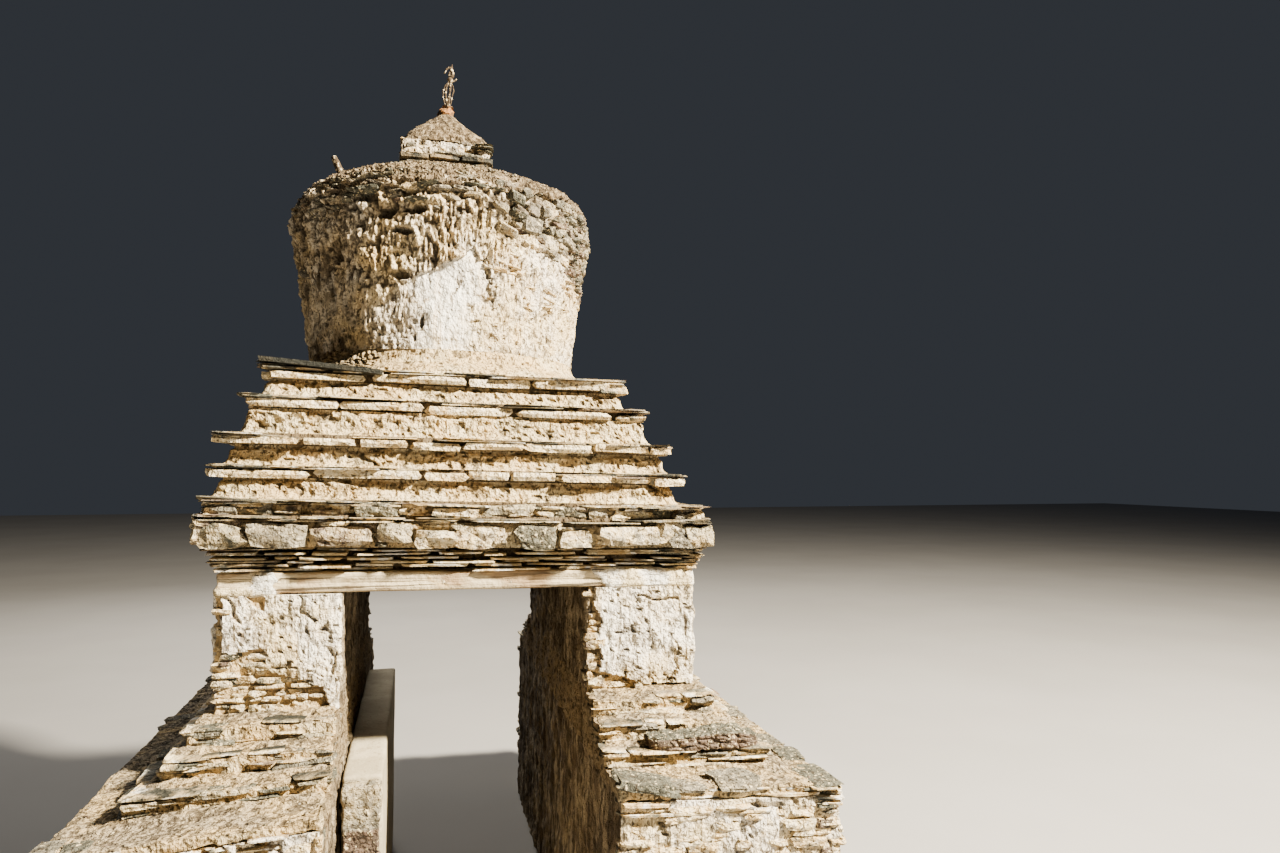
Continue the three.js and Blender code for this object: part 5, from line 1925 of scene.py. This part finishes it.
def build_harmika_coat():
    """Thick ragged limewash over the stones of the harmika's wall and rim."""
    low, high = box_of("harmika_wall", "harmika_top_slates")
    low = low + np.array([0.030, 0.030, 0.0])
    high = high - np.array([0.030, 0.030, 0.012])
    mesh, points, outward = rounded_block("harmika_coat", low, high, 0.008, 0.03)
    ragged = rough(points, (0.024, 0.024, 0.040), 3, 511)
    fine = np.abs(lumps(points, (0.016, 0.016, 0.022), 513))
    points += outward * (0.013 * ragged + 0.008 * fine - 0.010)[:, None]
    move_points(mesh, points)
    bare = fade(rough(points, (0.07, 0.07, 0.035), 3, 512), 0.22, 0.32)
    # Painted shade in the low parts of the ragged coat.
    hollow = fade(-ragged, 0.05, 0.45)
    paint(mesh, bare=bare, earth=0.1, hollow=hollow, cream=0.5, calm=0.0)
    add_piece("harmika_coat", mesh, "limewash")


SPIRE_OUTLINE = [
    (1.00, -0.02), (0.98, 0.06), (0.91, 0.20), (0.80, 0.35), (0.68, 0.50), (0.53, 0.66),
    (0.37, 0.81), (0.22, 0.94), (0.17, 1.0),
]


def build_spire():
    """The sandy mud mound over the harmika, square at its foot and round at its top."""
    low, high = box_of("mud_spire")
    middle = foot_of(low, high)
    wide = (high[0] - low[0]) / 2
    height = high[2] - low[2]
    corners = [(share * wide, rise * height) for share, rise in SPIRE_OUTLINE]
    mesh = to_mesh(spun(curve_through(corners, 0.0085), 0.011, middle), "mud_spire")
    points = points_of(mesh)
    angle, radius, outward = around(points, middle)
    rise = (points[:, 2] - low[2]) / height
    power = 2 + 5 * (1 - fade(rise, 0.0, 0.7))
    square = (np.abs(np.sin(angle)) ** power + np.abs(np.cos(angle)) ** power) ** (-1 / power)
    bumps = 0.010 * rough(points, 0.10, 3, 441) + 0.009 * rough(points, 0.03, 2, 442)
    away = 0.9 * radius * (square - 1) + bumps * fade(radius, 0.03, 0.08) - 0.004
    points += outward * away[:, None]
    move_points(mesh, points)
    dark = np.clip(0.93 + 0.12 * rough(points, 0.15, 3, 443), 0, 0.97)
    # Painted shade in the low parts between the bumps.
    paint(mesh, grit=0.9, dark=dark, hollow=0.7 * fade(-bumps, 0.005, 0.011))
    add_piece("mud_spire", mesh, "mud", ["mud_spire"])


# Wooden finial

def build_finial():
    """Knob, open bud, neck, open loop and spike, carved by hand and badly weathered."""
    builders = {
        "finial_knob": shape_knob,
        "finial_bud": shape_bud,
        "finial_neck": shape_neck,
        "finial_loop": shape_loop,
        "finial_spike": shape_spike,
    }
    for seed, (name, shape) in enumerate(builders.items()):
        low, high = box_of(name)
        bm = bmesh.new()
        shape(bm, (low + high) / 2, low[2], high[2])
        mesh = to_mesh(bm, name)
        points = points_of(mesh)
        knob = name == "finial_knob"
        size, reach = (0.030, 0.014) if knob else (0.012, 0.0020)
        uneven = [rough(points, size, 2, seed + axis) for axis in range(3)]
        move_points(mesh, points + reach * np.stack(uneven, axis=1))
        paint(mesh, wash=0.0, old=0.0 if knob else 1.0, clay=1.0 if knob else 0.0)
        add_piece(name, mesh, "timber", [name], smooth=not knob)


def shape_knob(bm, middle, low, high):
    """Lump of clay and wood at the tip of the mud spire, with a flat disc on it."""
    height = high - low
    x, y = middle[0], middle[1]
    path = [(x - 0.016, y, low - 0.03), (x - 0.014, y, low), (x - 0.010, y, low + 0.35 * height),
            (x - 0.002, y, low + 0.7 * height), (x, y, high - 0.004)]
    rod(bm, path, [0.050, 0.058, 0.052, 0.036, 0.022], 20)
    rod(bm, [(x, y, high - 0.006), (x, y, high + 0.003)], [0.034, 0.033], 18)


def shape_bud(bm, middle, low, high):
    """Bent strips and a straight bar that leave an open bud between them."""
    x, y = middle[0], middle[1]
    height = high - low
    left = [(-0.010, 0.0), (-0.025, 0.16), (-0.036, 0.38), (-0.034, 0.62), (-0.020, 0.85),
            (0.004, 0.98)]
    inner = [(-0.004, 0.05), (-0.014, 0.30), (-0.018, 0.55), (-0.012, 0.78), (0.002, 0.95)]
    right = [(0.010, 0.0), (0.020, 0.18), (0.028, 0.45), (0.036, 0.66), (0.034, 0.84),
             (0.010, 0.98)]
    bar = [(0.000, 0.0), (0.006, 0.3), (0.011, 0.6), (0.014, 0.8), (0.012, 1.0)]
    for strip, radius in ((left, 0.0048), (inner, 0.0085), (right, 0.0050), (bar, 0.0095)):
        path = [(x + dx, y, low + rise * height) for dx, rise in strip]
        rod(bm, path, [0.9 * radius * (1 + 0.35 * math.sin(3 * n)) for n in range(len(path))], 8)


def shape_neck(bm, middle, low, high):
    """Knot with a small horn that points to the right."""
    x, y = middle[0] + 0.012, middle[1]
    height = high - low
    knot = [(x, y, low - 0.006), (x, y, low + 0.5 * height), (x, y, high + 0.004)]
    rod(bm, knot, [0.012, 0.022, 0.014], 12)
    horn = [(x + 0.010, y, low + 0.4 * height), (x + 0.026, y, low + 0.35 * height),
            (x + 0.040, y, low + 0.6 * height), (x + 0.044, y, low + 1.0 * height)]
    rod(bm, horn, [0.010, 0.008, 0.006, 0.003], 8)


def shape_loop(bm, middle, low, high):
    """Flame shape: a thick bent bar with a thin hook that curls down to the left."""
    x, y = middle[0] + 0.010, middle[1]
    height = high - low
    bar = [(0.004, 0.0), (0.018, 0.22), (0.020, 0.48), (0.012, 0.72), (0.010, 0.92),
           (0.014, 1.04)]
    hook = [(0.010, 0.90), (-0.006, 0.96), (-0.022, 0.80), (-0.030, 0.55), (-0.040, 0.38)]
    inner = [(0.006, 0.10), (-0.006, 0.30), (-0.002, 0.52), (0.012, 0.60)]
    for strip, radii in ((bar, [0.012, 0.013, 0.012, 0.013, 0.011, 0.006]),
                         (hook, [0.010, 0.009, 0.007, 0.005, 0.002]),
                         (inner, [0.007, 0.007, 0.006, 0.006])):
        rod(bm, [(x + dx, y, low + rise * height) for dx, rise in strip], radii, 8)


def shape_spike(bm, middle, low, high):
    x, y = middle[0] + 0.024, middle[1]
    path = [(x, y, low - 0.006), (x + 0.001, y, low + 0.012), (x + 0.001, y, high)]
    rod(bm, path, [0.006, 0.004, 0.001], 8)


# Studio

FLOOR_REACH = 60
LIGHT_TARGET = (0, 0, 3)
BACKDROP = (0.74, 0.83, 1.0, 1)


def add_light(name, azimuth, elevation, distance, size, power, colour):
    """A soft square light. Azimuth 0 stands in front of the object, 90 to its right."""
    data = bpy.data.lights.new(name, "AREA")
    data.size = size
    data.energy = power
    data.color = colour
    light = bpy.data.objects.new(name, data)
    bpy.context.collection.objects.link(light)
    turn = math.radians(azimuth)
    rise = math.radians(elevation)
    flat = distance * math.cos(rise)
    target = Vector(LIGHT_TARGET)
    away = Vector((flat * math.sin(turn), -flat * math.cos(turn), distance * math.sin(rise)))
    light.location = target + away
    light.rotation_euler = (-away).to_track_quat("-Z", "Y").to_euler()


def add_camera():
    """The photograph's own place and angle."""
    data = bpy.data.cameras.new("photo_view")
    data.sensor_fit = "HORIZONTAL"
    data.sensor_width = SENSOR_WIDTH
    data.lens = FOCAL_PIXELS / PHOTO_WIDTH * SENSOR_WIDTH
    camera = bpy.data.objects.new("photo_view", data)
    bpy.context.collection.objects.link(camera)
    camera.location = CAMERA_PLACE
    rise = math.atan2(HORIZON_ROW - PHOTO_HEIGHT / 2, FOCAL_PIXELS)
    camera.rotation_euler = (math.pi / 2 + rise, 0, -CAMERA_TURN)
    bpy.context.scene.camera = camera


def add_floor():
    bm = bmesh.new()
    bmesh.ops.create_grid(bm, x_segments=1, y_segments=1, size=FLOOR_REACH)
    floor = bpy.data.objects.new("studio_floor", to_mesh(bm, "studio_floor"))
    bpy.context.collection.objects.link(floor)
    floor.data.materials.append(make_floor())


def add_backdrop():
    world = bpy.data.worlds.new("studio")
    world.use_nodes = True
    backdrop = world.node_tree.nodes["Background"]
    backdrop.inputs["Color"].default_value = BACKDROP
    backdrop.inputs["Strength"].default_value = 0.045
    bpy.context.scene.world = world


def add_studio():
    """The sun of the photograph as a soft lamp, and a weak one behind for the shaded sides."""
    add_camera()
    add_floor()
    add_light(
        "key_light", azimuth=53, elevation=37, distance=17, size=1.2, power=34000,
        colour=(1.0, 0.90, 0.72),
    )
    add_light(
        "back_fill", azimuth=188, elevation=24, distance=17, size=6.0, power=2200,
        colour=(1.0, 0.95, 0.86),
    )
    add_backdrop()


def build_all():
    build_sides()
    build_loose_stone()
    build_bench()
    build_bench_end()
    build_lintel("front_lintel", 95)
    build_lintel("back_lintel", 96)
    build_beams()
    build_tower()
    build_drum()
    build_cap()
    build_peg()
    build_harmika()
    build_spire()
    build_finial()
    build_pebbles()


add_studio()
build_all()
